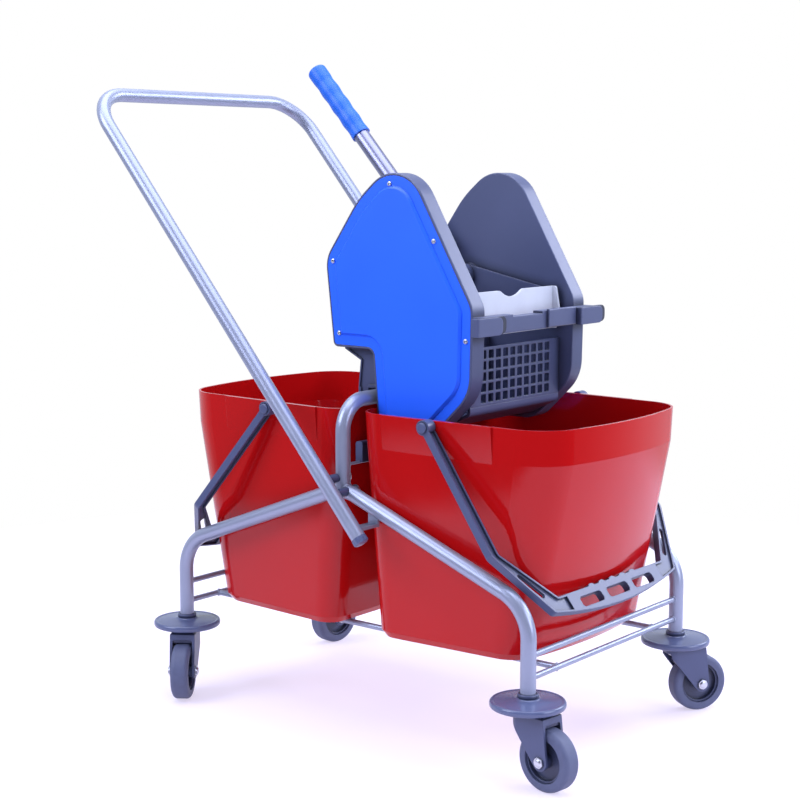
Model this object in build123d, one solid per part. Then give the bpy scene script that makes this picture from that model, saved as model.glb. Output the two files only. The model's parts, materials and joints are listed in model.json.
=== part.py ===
from build123d import *
import math
import os

# Two-bucket mop trolley with a lever press wringer, in millimetres.
# +Z is up, +X is the front (the wringer end) and +Y is the left side.
# The origin is on the floor, midway between the four castor legs.

# Castors
WHEEL_D = 80.0
TYRE_W = 25.0
TYRE_T = 12.0
TYRE_SHOULDER_R = 6.0
HUB_RIM_T = 3.0
HUB_RIM_W = 19.0
HUB_WEB_T = 7.0
HUB_BOSS_D = 19.0
HUB_SIDE_GAP = 0.3
AXLE_D = 8.0
AXLE_GAP = 0.05
AXLE_HEAD_D = 13.0
AXLE_HEAD_T = 4.5
FORK_T = 4.0
FORK_SIDE_GAP = 1.5
FORK_END_R = 11.0
CROWN_H = 12.0
CROWN_BACK = 16.0
CROWN_FRONT = 39.0
CROWN_BACK_R = 14.0
CROWN_FRONT_R = 4.0
CROWN_BEVEL = 4.0
FORK_ARCH_R = 3.0
CASTOR_TRAIL = 35.0
WHEEL_TOP_GAP = 5.9
KING_PIN_D = 10.0
KING_PIN_GAP = 0.05
KING_HEAD_D = 18.0
KING_HEAD_T = 4.0
KING_HEAD_GAP = 0.3
STEM_GRIP = 45.0
STEM_FIT = 0.1
SWIVEL_GAP = 0.5
BUMPER_D = 96.0
BUMPER_T = 11.0
BUMPER_CROWN = 2.5
BUMPER_EDGE_R = 4.0
BUMPER_FIT = 0.1
COLLAR_D = 26.0
COLLAR_H = 7.0
COLLAR_FOOT_R = 3.0
COLLAR_EDGE_R = 1.5
REST_TURN = {"front_right": -7.0, "front_left": 56.0, "rear_right": -55.0, "rear_left": -98.0}

# Frame of bent tube
TUBE_D = 20.0
TUBE_T = 1.5
ROD_D = 8.0
LEG_X = 300.0
LEG_Y = 183.0
SHOULDER_H = 113.6
APEX_H = 228.6
FRAME_BEND_R = 60.0
LOWER_ROD_H = 24.6
ROD_STEP = 28.5
RAIL_Y = 118.0
HOOP_BEND_R = 40.0
DIVIDER_WIRE_D = 4.0
DIVIDER_WIRE_DROP = 72.0
DIVIDER_WIRE_END = 8.0
DIVIDER_WIRE_BEND_R = 5.0
DIVIDER_BAR_L = 300.0
DIVIDER_BAR_W = 12.0
DIVIDER_BAR_H = 28.0
DIVIDER_BAR_EDGE_R = 4.0

# Push handle
HANDLE_GAP = 15.4
HANDLE_TILT = 49.04
HANDLE_L = 768.0
HANDLE_BEND_R = 62.0
HANDLE_END_DROP = 54.4
HANDLE_END_X = 56.4
UPPER_BOLT_AT = 90.5
LOWER_BOLT_AT = 67.8
BOLT_D = 8.0
BOLT_FIT = 0.1
BOLT_HEAD_D = 15.0
BOLT_HEAD_T = 5.0
BLIND_NUT_D = 12.0
BLIND_NUT_L = 10.0
SPACER_D = 12.0
PLUG_D = 21.0
PLUG_CAP_T = 9.0
PLUG_STEM_L = 25.0
PLUG_RIBS = 3
BRACKET_T = 4.0
BRACKET_W = 16.0
BRACKET_AT = 13.0
BRACKET_INSET = 4.0

# Buckets, alike at both ends of the trolley
RAIL_SEAT_GAP = 0.3
BUCKET_H = 301.7
BUCKET_WALL = 3.0
BUCKET_FLOOR_T = 3.5
BUCKET_HEEL = 9.0
BUCKET_HEEL_INSET = 6.3
BUCKET_BAND_H = 45.0
BUCKET_BAND_STEP = 1.5
BOTTOM_BACK_X = 36.0
BOTTOM_BACK_Y = 166.0
BOTTOM_SIDE_X = 262.0
BOTTOM_SIDE_Y = 153.0
BOTTOM_BULGE = 16.0
BOTTOM_BACK_R = 30.0
BOTTOM_FRONT_R = 45.0
RIM_BACK_GAP = 1.0
RIM_BACK_Y = 173.0
RIM_SIDE_X = 309.0
RIM_SIDE_Y = 165.0
RIM_BULGE = 24.0
RIM_BACK_R = 35.0
RIM_FRONT_R = 60.0
PAD_START_X = 57.0
PAD_END_X = 230.0
PAD_H = 62.0
PAD_PROUD = 3.0
PAD_SINK = 3.0
PAD_ROOT = 10.0

# Bucket bails
BAIL_PIVOT_X = 137.0
BAIL_PIVOT_DROP = 8.0
BAIL_LEAN = 51.5
BAIL_KNEE_AT = 190.0
BAIL_HANDLE_GAP = 2.9
BAIL_GRIP_AT = 283.0
BAIL_GRIP_Y = 148.0
BAIL_KNEE_R = 12.0
BAIL_CORNER_R = 8.0
BAIL_INNER_R = 4.0
BAIL_STRAP_W = 15.0
BAIL_STRAP_T = 10.0
BAIL_RIM_T = 3.0
BAIL_WEB_T = 4.0
BAIL_SLOT_L = 46.0
BAIL_SLOT_W = 8.0
BAIL_SLOT_SHARE = 0.6
BAIL_EYE_D = 20.0
BAIL_EYE_GAP = 0.5
BAIL_PIN_D = 8.0
BAIL_PIN_GAP = 0.1
BAIL_PIN_HEAD_D = 14.0
BAIL_PIN_HEAD_T = 2.5
BAIL_PIN_SEAT = 5.0
GRIP_DEPTH = 18.0
GRIP_INNER_Y = 127.0
GRIP_BOW = 15.0
GRIP_PLATE_Y = 110.0
GRIP_HOLES = 3
GRIP_HOLE_L = 50.0
GRIP_HOLE_W = 14.0
GRIP_HOLE_R = 5.0
GRIP_HOLE_AT = 16.5
GRIP_HOLE_PITCH = 63.0
GRIP_BUMPS = 5
GRIP_BUMP_PITCH = 25.0
GRIP_BUMP_D = 22.0
GRIP_BUMP_H = 3.0

# Wringer: places in X and Z are from the middle of the hoop bar and the saddle seat on top of it
HOOP_RIM_GAP = 3.0
SADDLE_GAP = 0.3
HOUSING_INNER_Y = 104.0
HOUSING_W = 27.0
HOUSING_WALL = 3.0
HOUSING_EDGE_R = 1.5
OUTLINE_TAIL_X = -61.0
OUTLINE_NOTCH_Z = 55.2
OUTLINE_BACK_X = -75.0
OUTLINE_BACK_Z = 174.0
OUTLINE_BROW_X = -18.0
OUTLINE_BROW_Z = 254.5
OUTLINE_TOP_X = 57.0
OUTLINE_TOP_Z = 318.0
OUTLINE_NOSE_X = 173.0
OUTLINE_NOSE_Z = 119.0
OUTLINE_CHIN_X = 171.0
OUTLINE_CHIN_Z = 6.7
OUTLINE_FOOT_X = 108.0
OUTLINE_FOOT_Z = -55.3
OUTLINE_HEEL_X = 18.0
OUTLINE_NOTCH_X = 8.0
OUTLINE_RADII = (8.0, 40.0, 150.0, 54.0, 35.0, 60.0, 40.0, 10.0, 10.0)
COVER_T = 3.0
COVER_GAP = 0.3
COVER_FIELD_INSET = 17.0
COVER_FIELD_T = 4.0
COVER_FIELD_EDGE = 3.0
SCREW_PLACES = ((37.0, 275.0), (110.0, 202.0), (162.0, 76.0), (-50.0, 74.0), (-61.0, 171.0), (34.0, -45.3))
SCREW_D = 3.4
SCREW_HEAD_D = 7.0
SCREW_HEAD_ROOM = 0.5
SCREW_HEAD_T = 2.2
SCREW_BITE = 12.0
SCREW_BOSS_D = 9.0

# Wringer mechanism
JAW_SHAFT_X = -5.0
JAW_SHAFT_Z = 143.7
GEAR_LINE = 129.0
GEAR_MODULE = 2.5
PINION_TOOTH_COUNT = 14
JAW_GEAR_TOOTH_COUNT = 28
JAW_TOOTH_COUNT = 7
JAW_TEETH_LEAD = 1.5
TOOTH_ADDENDUM = 0.8
TOOTH_DEDENDUM = 1.1
TOOTH_BACKLASH = 0.35
TOOTH_FLANK_STEPS = 3
PRESSURE_ANGLE = 20.0
GEAR_FACE_W = 9.0
GEAR_END_GAP = 2.0
GEAR_HUB_D = 26.0
SHAFT_D = 14.0
SHAFT_GAP = 0.05
BUSH_D = 19.0
BUSH_FLANGE_D = 26.0
BUSH_FLANGE_T = 2.0
BOSS_D = 34.0
BOSS_H = 6.0
SPRING_WIRE_D = 2.2
SPRING_D = 22.0
SPRING_TURNS = 2.0
SPRING_SEAT_GAP = 0.4

# Lever
LEVER_Y = 75.0
LEVER_ANGLE = 132.5
SOCKET_HUB_D = 34.0
SOCKET_HUB_W = 26.0
SOCKET_NECK_D = 31.0
SOCKET_NECK_L = 52.0
SOCKET_FIT = 0.1
LEVER_TUBE_D = 24.0
LEVER_TUBE_START = 20.0
GRIP_START = 216.0
GRIP_L = 132.0
GRIP_D = 29.0
GRIP_WAVES = 4
GRIP_WAVE_DEPTH = 1.0
GRIP_END_T = 6.0
GRIP_END_R = 5.0

# Press jaw
JAW_REACH = 150.0
JAW_PLATE_T = 4.0
JAW_TOP_DROP = 9.0
JAW_BOTTOM_DROP = 67.0
JAW_SIDE_GAP = 1.0
JAW_CORNER_R = 4.0
JAW_SCOOP_Y = -5.0
JAW_SCOOP_R = 42.0
JAW_SCOOP_H = 9.0
JAW_SCOOP_EDGE_R = 14.0
JAW_FLANGE_T = 4.0
JAW_FLANGE_TOP = 5.0
JAW_FLANGE_REACH = 12.0
JAW_FLANGE_DROP = 47.0
JAW_ARM_DROP = 14.0
JAW_ARM_FOOT = 7.0
JAW_HUB_D = 32.0
JAW_HUB_W = 12.0
JAW_RIBS = 3
JAW_RIB_T = 3.0
JAW_RIB_D = 8.0

# Basket and grille
BASKET_T = 4.0
BASKET_SIDE_GAP = 0.2
BASKET_FRONT_X = 150.0
BASKET_FLOOR_X = 106.0
BASKET_REAR_X = 30.0
BASKET_REAR_TOP_X = 26.0
BASKET_REAR_TOP_Z = 58.7
BASKET_FLOOR_Z = -41.3
BASKET_BEND_R = 12.0
BASKET_LIP_BEND_R = 6.0
BASKET_LIP_H = 9.0
DRAIN_ROWS = 2
DRAIN_COLUMNS = 8
DRAIN_L = 24.0
DRAIN_W = 8.0
DRAIN_ROW_PITCH = 32.0
DRAIN_PITCH = 22.0
GRILLE_T = 4.0
GRILLE_FOOT_Z = -14.3
GRILLE_TOP_Z = 62.7
GRILLE_COLUMNS = 10
GRILLE_ROWS = 5
GRILLE_PITCH_Y = 16.5
GRILLE_PITCH_Z = 14.5
GRILLE_HOLE = 11.5
GRILLE_HOLE_R = 1.5

# Rear hanger
HANGER_T = 4.5
HANGER_LEG_GAP = 6.5
HANGER_LEG_W = 17.5
HANGER_LEG_DROP = 35.3
HANGER_FRONT_X = 16.0
HANGER_TAIL_X = -58.0
HANGER_WAIST_X = -30.0
HANGER_WAIST_Z = 36.7
HANGER_HALF_W = 110.5
HANGER_RIB_YS = (-107.0, -36.0, 36.0, 107.0)
HANGER_RIB_T = 3.0
HANGER_RIB_EDGE = 2.5
HANGER_RIB_EDGE_W = 7.0

# Front rail
RAIL_FRONT_D = 15.0
RAIL_GAP = 0.2
RAIL_Z0 = 84.7
RAIL_H = 23.0
CLIP_REACH = 155.0
CLIP_BACK_L = 72.0
CLIP_BACK_T = 3.0
CLIP_SLOT = 4.6
CLIP_L = 53.0
CLIP_T = 4.0
CLIP_END_R = 8.0
CLIP_BEND_R = 2.0
RAIL_RECESS_Y0 = -63.0
RAIL_RECESS_Y1 = 5.0
RAIL_RECESS_H = 3.0
BLOCK_Y0 = 15.0
BLOCK_Y1 = 82.0
BLOCK_PROUD = 4.0
BLOCK_RISE = 2.0
BLOCK_FOOT = 1.0
BLOCK_EDGE_R = 1.5

# Worked out from the sizes above
AXLE_Z = WHEEL_D / 2
CROWN_BOTTOM = WHEEL_D + WHEEL_TOP_GAP
CROWN_TOP = CROWN_BOTTOM + CROWN_H
BUMPER_BOTTOM = CROWN_TOP + SWIVEL_GAP
DECK = BUMPER_BOTTOM + BUMPER_T
TUBE_R = TUBE_D / 2
TUBE_BORE_D = TUBE_D - 2 * TUBE_T
SHOULDER_Z = DECK + SHOULDER_H
APEX_Z = DECK + APEX_H
LOWER_ROD_Z = DECK + LOWER_ROD_H
UPPER_ROD_Z = LOWER_ROD_Z + ROD_STEP
BUCKET_BOTTOM = LOWER_ROD_Z + ROD_D / 2 + RAIL_SEAT_GAP
RIM_Z = BUCKET_BOTTOM + BUCKET_H
RIM_BACK_X = TUBE_R + RIM_BACK_GAP
HOOP_Z = RIM_Z + HOOP_RIM_GAP + TUBE_R
SADDLE_Z = HOOP_Z + TUBE_R + SADDLE_GAP
HOUSING_OUTER_Y = HOUSING_INNER_Y + HOUSING_W
COVER_SEAT_Y = HOUSING_OUTER_Y - COVER_T
JAW_SHAFT = (JAW_SHAFT_X, SADDLE_Z + JAW_SHAFT_Z)
GEAR_CENTRES = GEAR_MODULE * (PINION_TOOTH_COUNT + JAW_GEAR_TOOTH_COUNT) / 2
LEVER_SHAFT = (
    JAW_SHAFT[0] + GEAR_CENTRES * math.cos(math.radians(GEAR_LINE)),
    JAW_SHAFT[1] + GEAR_CENTRES * math.sin(math.radians(GEAR_LINE)),
)
GEAR_Y1 = COVER_SEAT_Y - GEAR_END_GAP
GEAR_Y0 = GEAR_Y1 - GEAR_FACE_W
SHAFT_END_Y = GEAR_Y1
JAW_HALF_W = HOUSING_INNER_Y - BOSS_H - JAW_SIDE_GAP
HANDLE_Y = LEG_Y + TUBE_D + HANDLE_GAP
HANDLE_END = (HANDLE_END_X, APEX_Z - HANDLE_END_DROP)
HANDLE_DIR = (-math.cos(math.radians(HANDLE_TILT)), math.sin(math.radians(HANDLE_TILT)))
BAIL_PIVOT_Z = RIM_Z - BAIL_PIVOT_DROP
BAIL_KNEE_Y = HANDLE_Y - TUBE_R - BAIL_HANDLE_GAP
BASE = (Align.CENTER, Align.CENTER, Align.MIN)
DOME_SHARE = 0.75
CORNERS = {
    "front_right": (LEG_X, -LEG_Y),
    "front_left": (LEG_X, LEG_Y),
    "rear_right": (-LEG_X, -LEG_Y),
    "rear_left": (-LEG_X, LEG_Y),
}


# Shared shapes
def slab_y(sketch, y0, y1):
    """Extrude a sketch drawn in X and Z from y0 to y1."""
    return extrude(Plane.XZ.offset(-y0) * sketch, amount=y0 - y1)


def slab_z(sketch, z0, z1):
    """Extrude a sketch drawn in X and Y from z0 to z1."""
    return extrude(Pos(0, 0, z0) * sketch, amount=z1 - z0)


def bar_y(x, z, y0, y1, d):
    """A round bar along Y from y0 to y1."""
    return Pos(x, min(y0, y1), z) * Rot(-90, 0, 0) * Cylinder(d / 2, abs(y1 - y0), align=BASE)


def dome_y(x, z, y0, y1, d):
    """A round head whose far edge, at y1, is well rounded."""
    head = bar_y(x, z, y0, y1, d)
    rims = head.edges().filter_by(GeomType.CIRCLE).sort_by(Axis.Y)
    far_rim = rims[-1] if y1 > y0 else rims[0]
    return fillet(far_rim, abs(y1 - y0) * DOME_SHARE)


def block(x0, x1, y0, y1, z0, z1):
    """A box between two corners."""
    middle = Pos((x0 + x1) / 2, (y0 + y1) / 2, (z0 + z1) / 2)
    return middle * Box(x1 - x0, y1 - y0, z1 - z0)


def bar_along(path, d):
    """A solid round bar along a path."""
    return sweep(Plane(path @ 0, z_dir=path % 0) * Circle(d / 2), path=path)


def tube_along(path, d, wall):
    """A round tube along a path."""
    return sweep(Plane(path @ 0, z_dir=path % 0) * (Circle(d / 2) - Circle(d / 2 - wall)), path=path)


def mirror_y(part):
    """The same piece on the other side of the trolley."""
    return mirror(part, about=Plane.XZ)


def mirror_x(part):
    """The same piece at the other end of the trolley."""
    return mirror(part, about=Plane.YZ)


# Castors, each drawn with its swivel axis at X = Y = 0 and its wheel trailing towards +X
def castor_fork():
    """An inverted channel: two plates that narrow to the axle, under a bevelled crown with a front lip."""
    plate_y = TYRE_W / 2 + FORK_SIDE_GAP
    half_w = plate_y + FORK_T
    crown_l = CROWN_FRONT + CROWN_BACK
    crown = Pos(CROWN_FRONT - crown_l / 2, CROWN_BOTTOM + CROWN_H / 2) * Rectangle(crown_l, CROWN_H)
    axle_end = Pos(CASTOR_TRAIL, AXLE_Z) * Circle(FORK_END_R)
    side_view = slab_y(make_hull(crown.edges() + axle_end.edges()), -half_w, half_w)
    reach = CASTOR_TRAIL + 2 * FORK_END_R
    plan = FilletPolyline(
        (-CROWN_BACK, -half_w),
        (reach, -half_w),
        (reach, half_w),
        (-CROWN_BACK, half_w),
        radius=[CROWN_BACK_R, CROWN_FRONT_R, CROWN_FRONT_R, CROWN_BACK_R],
        close=True,
    )
    fork = side_view & slab_z(make_face(plan), 0, CROWN_TOP)
    fork = chamfer(fork.faces().sort_by(Axis.Z)[-1].edges(), CROWN_BEVEL)
    tunnel = Pos(0, CROWN_BOTTOM / 2) * Rectangle(2 * plate_y, CROWN_BOTTOM)
    tunnel = fillet(tunnel.vertices().group_by(Axis.Y)[-1], FORK_ARCH_R)
    fork -= extrude(Plane.YZ.offset(-CROWN_BACK) * tunnel, amount=CROWN_BACK + reach)
    fork -= bar_y(CASTOR_TRAIL, AXLE_Z, -half_w, half_w, AXLE_D + 2 * AXLE_GAP)
    fork -= Pos(0, 0, CROWN_BOTTOM) * Cylinder(KING_PIN_D / 2 + KING_PIN_GAP, CROWN_H, align=BASE)
    return fork


def castor_axle_bolt():
    half_w = TYRE_W / 2 + FORK_SIDE_GAP + FORK_T
    bolt = bar_y(CASTOR_TRAIL, AXLE_Z, -half_w, half_w, AXLE_D)
    bolt += dome_y(CASTOR_TRAIL, AXLE_Z, -half_w, -half_w - AXLE_HEAD_T, AXLE_HEAD_D)
    bolt += dome_y(CASTOR_TRAIL, AXLE_Z, half_w, half_w + AXLE_HEAD_T, AXLE_HEAD_D)
    return bolt


def wheel_place():
    return Pos(CASTOR_TRAIL, 0, AXLE_Z) * Rot(-90, 0, 0)


def castor_tyre():
    section = Pos(WHEEL_D / 2 - TYRE_T / 2, 0) * Rectangle(TYRE_T, TYRE_W)
    section = fillet(section.vertices().group_by(Axis.X)[-1], TYRE_SHOULDER_R)
    return wheel_place() * revolve(Plane.XZ * section, axis=Axis.Z)


def castor_hub():
    rim_r = WHEEL_D / 2 - TYRE_T
    boss_w = TYRE_W / 2 + FORK_SIDE_GAP - HUB_SIDE_GAP
    right_half = [
        (AXLE_D / 2 + AXLE_GAP, 0),
        (AXLE_D / 2 + AXLE_GAP, boss_w),
        (HUB_BOSS_D / 2, boss_w),
        (HUB_BOSS_D / 2, HUB_WEB_T / 2),
        (rim_r - HUB_RIM_T, HUB_WEB_T / 2),
        (rim_r - HUB_RIM_T, HUB_RIM_W / 2),
        (rim_r, HUB_RIM_W / 2),
        (rim_r, 0),
    ]
    half = make_face(Polyline(*right_half, close=True))
    return wheel_place() * revolve(Plane.XZ * (half + mirror(half, about=Plane.XZ)), axis=Axis.Z)


def castor_bumper():
    """A disc with a soft rim, slightly crowned, that rises into a collar round the leg."""
    bore_r = TUBE_R + BUMPER_FIT
    rim_z = DECK - BUMPER_CROWN
    section = make_face(
        Polyline(
            (bore_r, BUMPER_BOTTOM),
            (BUMPER_D / 2, BUMPER_BOTTOM),
            (BUMPER_D / 2, rim_z),
            (COLLAR_D / 2, DECK),
            (COLLAR_D / 2, DECK + COLLAR_H),
            (bore_r, DECK + COLLAR_H),
            close=True,
        )
    )
    rim = section.vertices().group_by(Axis.X)[-1]
    section = fillet(rim, BUMPER_EDGE_R)
    foot = section.vertices().sort_by_distance((COLLAR_D / 2, DECK, 0))[0]
    section = fillet(foot, COLLAR_FOOT_R)
    edge = section.vertices().sort_by_distance((COLLAR_D / 2, DECK + COLLAR_H, 0))[0]
    section = fillet(edge, COLLAR_EDGE_R)
    return revolve(Plane.XZ * section, axis=Axis.Z)


def castor_stem():
    plug = Pos(0, 0, BUMPER_BOTTOM) * Cylinder(TUBE_BORE_D / 2 - STEM_FIT, STEM_GRIP, align=BASE)
    pin_bottom = CROWN_BOTTOM - KING_HEAD_GAP
    pin = Pos(0, 0, pin_bottom) * Cylinder(KING_PIN_D / 2, BUMPER_BOTTOM - pin_bottom, align=BASE)
    head = Pos(0, 0, pin_bottom - KING_HEAD_T) * Cylinder(KING_HEAD_D / 2, KING_HEAD_T, align=BASE)
    return plug + pin + head


# Frame
def side_path(y):
    plane = Plane(origin=(0, y, 0), x_dir=(1, 0, 0), z_dir=(0, -1, 0))
    line = FilletPolyline(
        (-LEG_X, BUMPER_BOTTOM),
        (-LEG_X, SHOULDER_Z),
        (0, APEX_Z),
        (LEG_X, SHOULDER_Z),
        (LEG_X, BUMPER_BOTTOM),
        radius=FRAME_BEND_R,
    )
    return plane * line


def hoop_path():
    line = FilletPolyline(
        (-LEG_Y, APEX_Z - TUBE_D),
        (-LEG_Y, HOOP_Z),
        (LEG_Y, HOOP_Z),
        (LEG_Y, APEX_Z - TUBE_D),
        radius=HOOP_BEND_R,
    )
    return Plane.YZ * line


def handle_plane():
    return Plane(
        origin=(HANDLE_END[0], 0, HANDLE_END[1]),
        x_dir=(0, 1, 0),
        z_dir=(HANDLE_DIR[1], 0, -HANDLE_DIR[0]),
    )


def handle_path():
    line = FilletPolyline(
        (-HANDLE_Y, 0),
        (-HANDLE_Y, HANDLE_L),
        (HANDLE_Y, HANDLE_L),
        (HANDLE_Y, 0),
        radius=HANDLE_BEND_R,
    )
    return handle_plane() * line


def on_handle(distance):
    """X and Z of the handle tube's centre, this far up from its lower end."""
    return (HANDLE_END[0] + HANDLE_DIR[0] * distance, HANDLE_END[1] + HANDLE_DIR[1] * distance)


def handle_bolt_places():
    return [on_handle(UPPER_BOLT_AT), on_handle(LOWER_BOLT_AT)]


def bolt_holes():
    holes = Part()
    for x, z in handle_bolt_places():
        holes += bar_y(x, z, LEG_Y - TUBE_D, HANDLE_Y, BOLT_D + 2 * BOLT_FIT)
    return holes + mirror_y(holes)


def side_frame(y):
    return tube_along(side_path(y), TUBE_D, TUBE_T) - bolt_holes()


def solid_sides():
    return bar_along(side_path(LEG_Y), TUBE_D) + bar_along(side_path(-LEG_Y), TUBE_D)


def centre_hoop():
    slope = math.atan2(APEX_Z - SHOULDER_Z, LEG_X)
    side_top_z = APEX_Z - FRAME_BEND_R * (1 / math.cos(slope) - 1)
    legs_cut = block(-TUBE_D, TUBE_D, -2 * LEG_Y, 2 * LEG_Y, 0, side_top_z)
    return tube_along(hoop_path(), TUBE_D, TUBE_T) - legs_cut - solid_sides() - bolt_holes()


def end_rods():
    rods = Part()
    for z in (LOWER_ROD_Z, UPPER_ROD_Z):
        rods += bar_y(LEG_X, z, -LEG_Y, LEG_Y, ROD_D)
    return rods - solid_sides()


def base_rails(rods):
    rails = Part()
    for y in (-RAIL_Y, RAIL_Y):
        rail = Pos(-LEG_X, y, LOWER_ROD_Z) * Rot(0, 90, 0) * Cylinder(ROD_D / 2, 2 * LEG_X, align=BASE)
        rails += rail
    return rails - rods - mirror_x(rods)


def divider_wire():
    end_y = LEG_Y - TUBE_R - DIVIDER_WIRE_D / 2
    top_z = RIM_Z - DIVIDER_WIRE_DROP
    line = FilletPolyline(
        (-end_y, top_z - DIVIDER_WIRE_END),
        (-end_y, top_z),
        (end_y, top_z),
        (end_y, top_z - DIVIDER_WIRE_END),
        radius=DIVIDER_WIRE_BEND_R,
    )
    return bar_along(Plane.YZ * line, DIVIDER_WIRE_D)


def divider_bar():
    wire_z = RIM_Z - DIVIDER_WIRE_DROP
    half_l = DIVIDER_BAR_L / 2
    half_w = DIVIDER_BAR_W / 2
    bar = block(-half_w, half_w, -half_l, half_l, wire_z, wire_z + DIVIDER_BAR_H)
    bar = fillet(bar.edges().filter_by(Axis.Y).group_by(Axis.Z)[-1], DIVIDER_BAR_EDGE_R)
    return bar - bar_y(0, wire_z, -half_l, half_l, DIVIDER_WIRE_D)


# Handle
def handle_bow():
    return tube_along(handle_path(), TUBE_D, TUBE_T) - bolt_holes()


def handle_end_plugs():
    down = Plane(
        origin=(HANDLE_END[0], HANDLE_Y, HANDLE_END[1]),
        x_dir=(0, 1, 0),
        z_dir=(-HANDLE_DIR[0], 0, -HANDLE_DIR[1]),
    )
    cap = Cylinder(PLUG_D / 2, PLUG_CAP_T, align=BASE)
    rib_t = PLUG_CAP_T / (2 * PLUG_RIBS + 1)
    for rib in range(PLUG_RIBS):
        groove = Cylinder(PLUG_D, rib_t, align=BASE) - Cylinder(PLUG_D / 2 - rib_t / 2, rib_t, align=BASE)
        cap -= Pos(0, 0, rib_t * (2 * rib + 1)) * groove
    stem = Pos(0, 0, -PLUG_STEM_L) * Cylinder(TUBE_BORE_D / 2 - STEM_FIT, PLUG_STEM_L, align=BASE)
    plug = down.location * (cap + stem)
    return plug + mirror_y(plug)


def handle_spacers():
    spacers = Part()
    for x, z in handle_bolt_places():
        spacer = bar_y(x, z, LEG_Y, HANDLE_Y, SPACER_D)
        spacers += spacer - bar_y(x, z, LEG_Y, HANDLE_Y, BOLT_D + 2 * BOLT_FIT)
    hoop = bar_along(hoop_path(), TUBE_D)
    spacers = spacers - solid_sides() - hoop - bar_along(handle_path(), TUBE_D)
    return spacers + mirror_y(spacers)


def handle_bolts():
    """Each bolt has its head on the inside of the frame and a blind nut in the handle tube."""
    bolts = Part()
    inner_y = LEG_Y - TUBE_R
    nut_y = HANDLE_Y - math.sqrt(TUBE_BORE_D**2 - BLIND_NUT_D**2) / 2
    for x, z in handle_bolt_places():
        bolt = bar_y(x, z, inner_y, nut_y + BLIND_NUT_L, BOLT_D)
        bolt += dome_y(x, z, inner_y, inner_y - BOLT_HEAD_T, BOLT_HEAD_D)
        bolt += bar_y(x, z, nut_y, nut_y + BLIND_NUT_L, BLIND_NUT_D)
        bolts += bolt
    return bolts + mirror_y(bolts)


def handle_brackets():
    x, z = on_handle(BRACKET_AT)
    web_y = LEG_Y - BRACKET_INSET
    half_w = BRACKET_W / 2
    top = z + BRACKET_T / 2
    foot = block(x - half_w, x + half_w, web_y - BRACKET_T, HANDLE_Y, top - BRACKET_T, top)
    web = block(x - half_w, x + half_w, web_y - BRACKET_T, web_y, top, SHOULDER_Z + SHOULDER_H)
    above = bar_along(side_path(LEG_Y), TUBE_D)
    bracket = foot + (web - above).solids().sort_by(Axis.Z)[0]
    bracket = bracket - bar_along(handle_path(), TUBE_D)
    return bracket + mirror_y(bracket)


# Buckets, drawn at the front end
def bucket_outline(back_x, back_y, side_x, side_y, bulge, back_r, front_r):
    """Flat back, sides that close in towards the front, and a bowed front."""
    sides = Polyline((side_x, side_y), (back_x, back_y), (back_x, -back_y), (side_x, -side_y))
    front = ThreePointArc((side_x, -side_y), (side_x + bulge, 0), (side_x, side_y))
    face = make_face(sides + front)
    face = fillet(face.vertices().group_by(Axis.X)[0], back_r)
    return fillet(face.vertices().group_by(Axis.X)[-1], front_r)


def bucket_section(z, inset):
    """The outline at a height, moved in by an inset: a straight taper up to the band under the rim."""
    band_z = RIM_Z - BUCKET_BAND_H
    step = BUCKET_BAND_STEP
    low = (
        BOTTOM_BACK_X,
        BOTTOM_BACK_Y,
        BOTTOM_SIDE_X,
        BOTTOM_SIDE_Y,
        BOTTOM_BULGE,
        BOTTOM_BACK_R,
        BOTTOM_FRONT_R,
    )
    rim = (RIM_BACK_X, RIM_BACK_Y, RIM_SIDE_X, RIM_SIDE_Y, RIM_BULGE, RIM_BACK_R, RIM_FRONT_R)
    band = (rim[0] + step, rim[1] - step, rim[2] - step, rim[3] - step, rim[4], rim[5], rim[6])
    if z <= band_z:
        share = (z - BUCKET_BOTTOM) / (band_z - BUCKET_BOTTOM)
        sizes = [a + (b - a) * share for a, b in zip(low, band)]
    else:
        share = (z - band_z) / BUCKET_BAND_H
        sizes = [a + (b - a) * share for a, b in zip(band, rim)]
    outline = bucket_outline(*sizes)
    if inset > 0:
        outline = offset(outline, amount=-inset)
    return Pos(0, 0, z) * outline


def side_wall_y(x):
    """Half width of the rim at this distance from the hoop."""
    return RIM_BACK_Y + (RIM_SIDE_Y - RIM_BACK_Y) * (x - RIM_BACK_X) / (RIM_SIDE_X - RIM_BACK_X)


def pad_section(z, proud):
    """The pad from above at a height, this far proud of the rim's side."""
    corners = [
        (PAD_START_X, side_wall_y(PAD_START_X) + proud),
        (PAD_END_X, side_wall_y(PAD_END_X) + proud),
        (PAD_END_X, side_wall_y(PAD_END_X) - PAD_ROOT),
        (PAD_START_X, side_wall_y(PAD_START_X) - PAD_ROOT),
    ]
    return Pos(0, 0, z) * make_face(Polyline(*corners, close=True))


def pivot_pad():
    """The raised pad that carries a bail pivot: it dies away downwards into the side wall."""
    return loft([pad_section(RIM_Z - PAD_H, -PAD_SINK), pad_section(RIM_Z, PAD_PROUD)], ruled=True)


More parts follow.
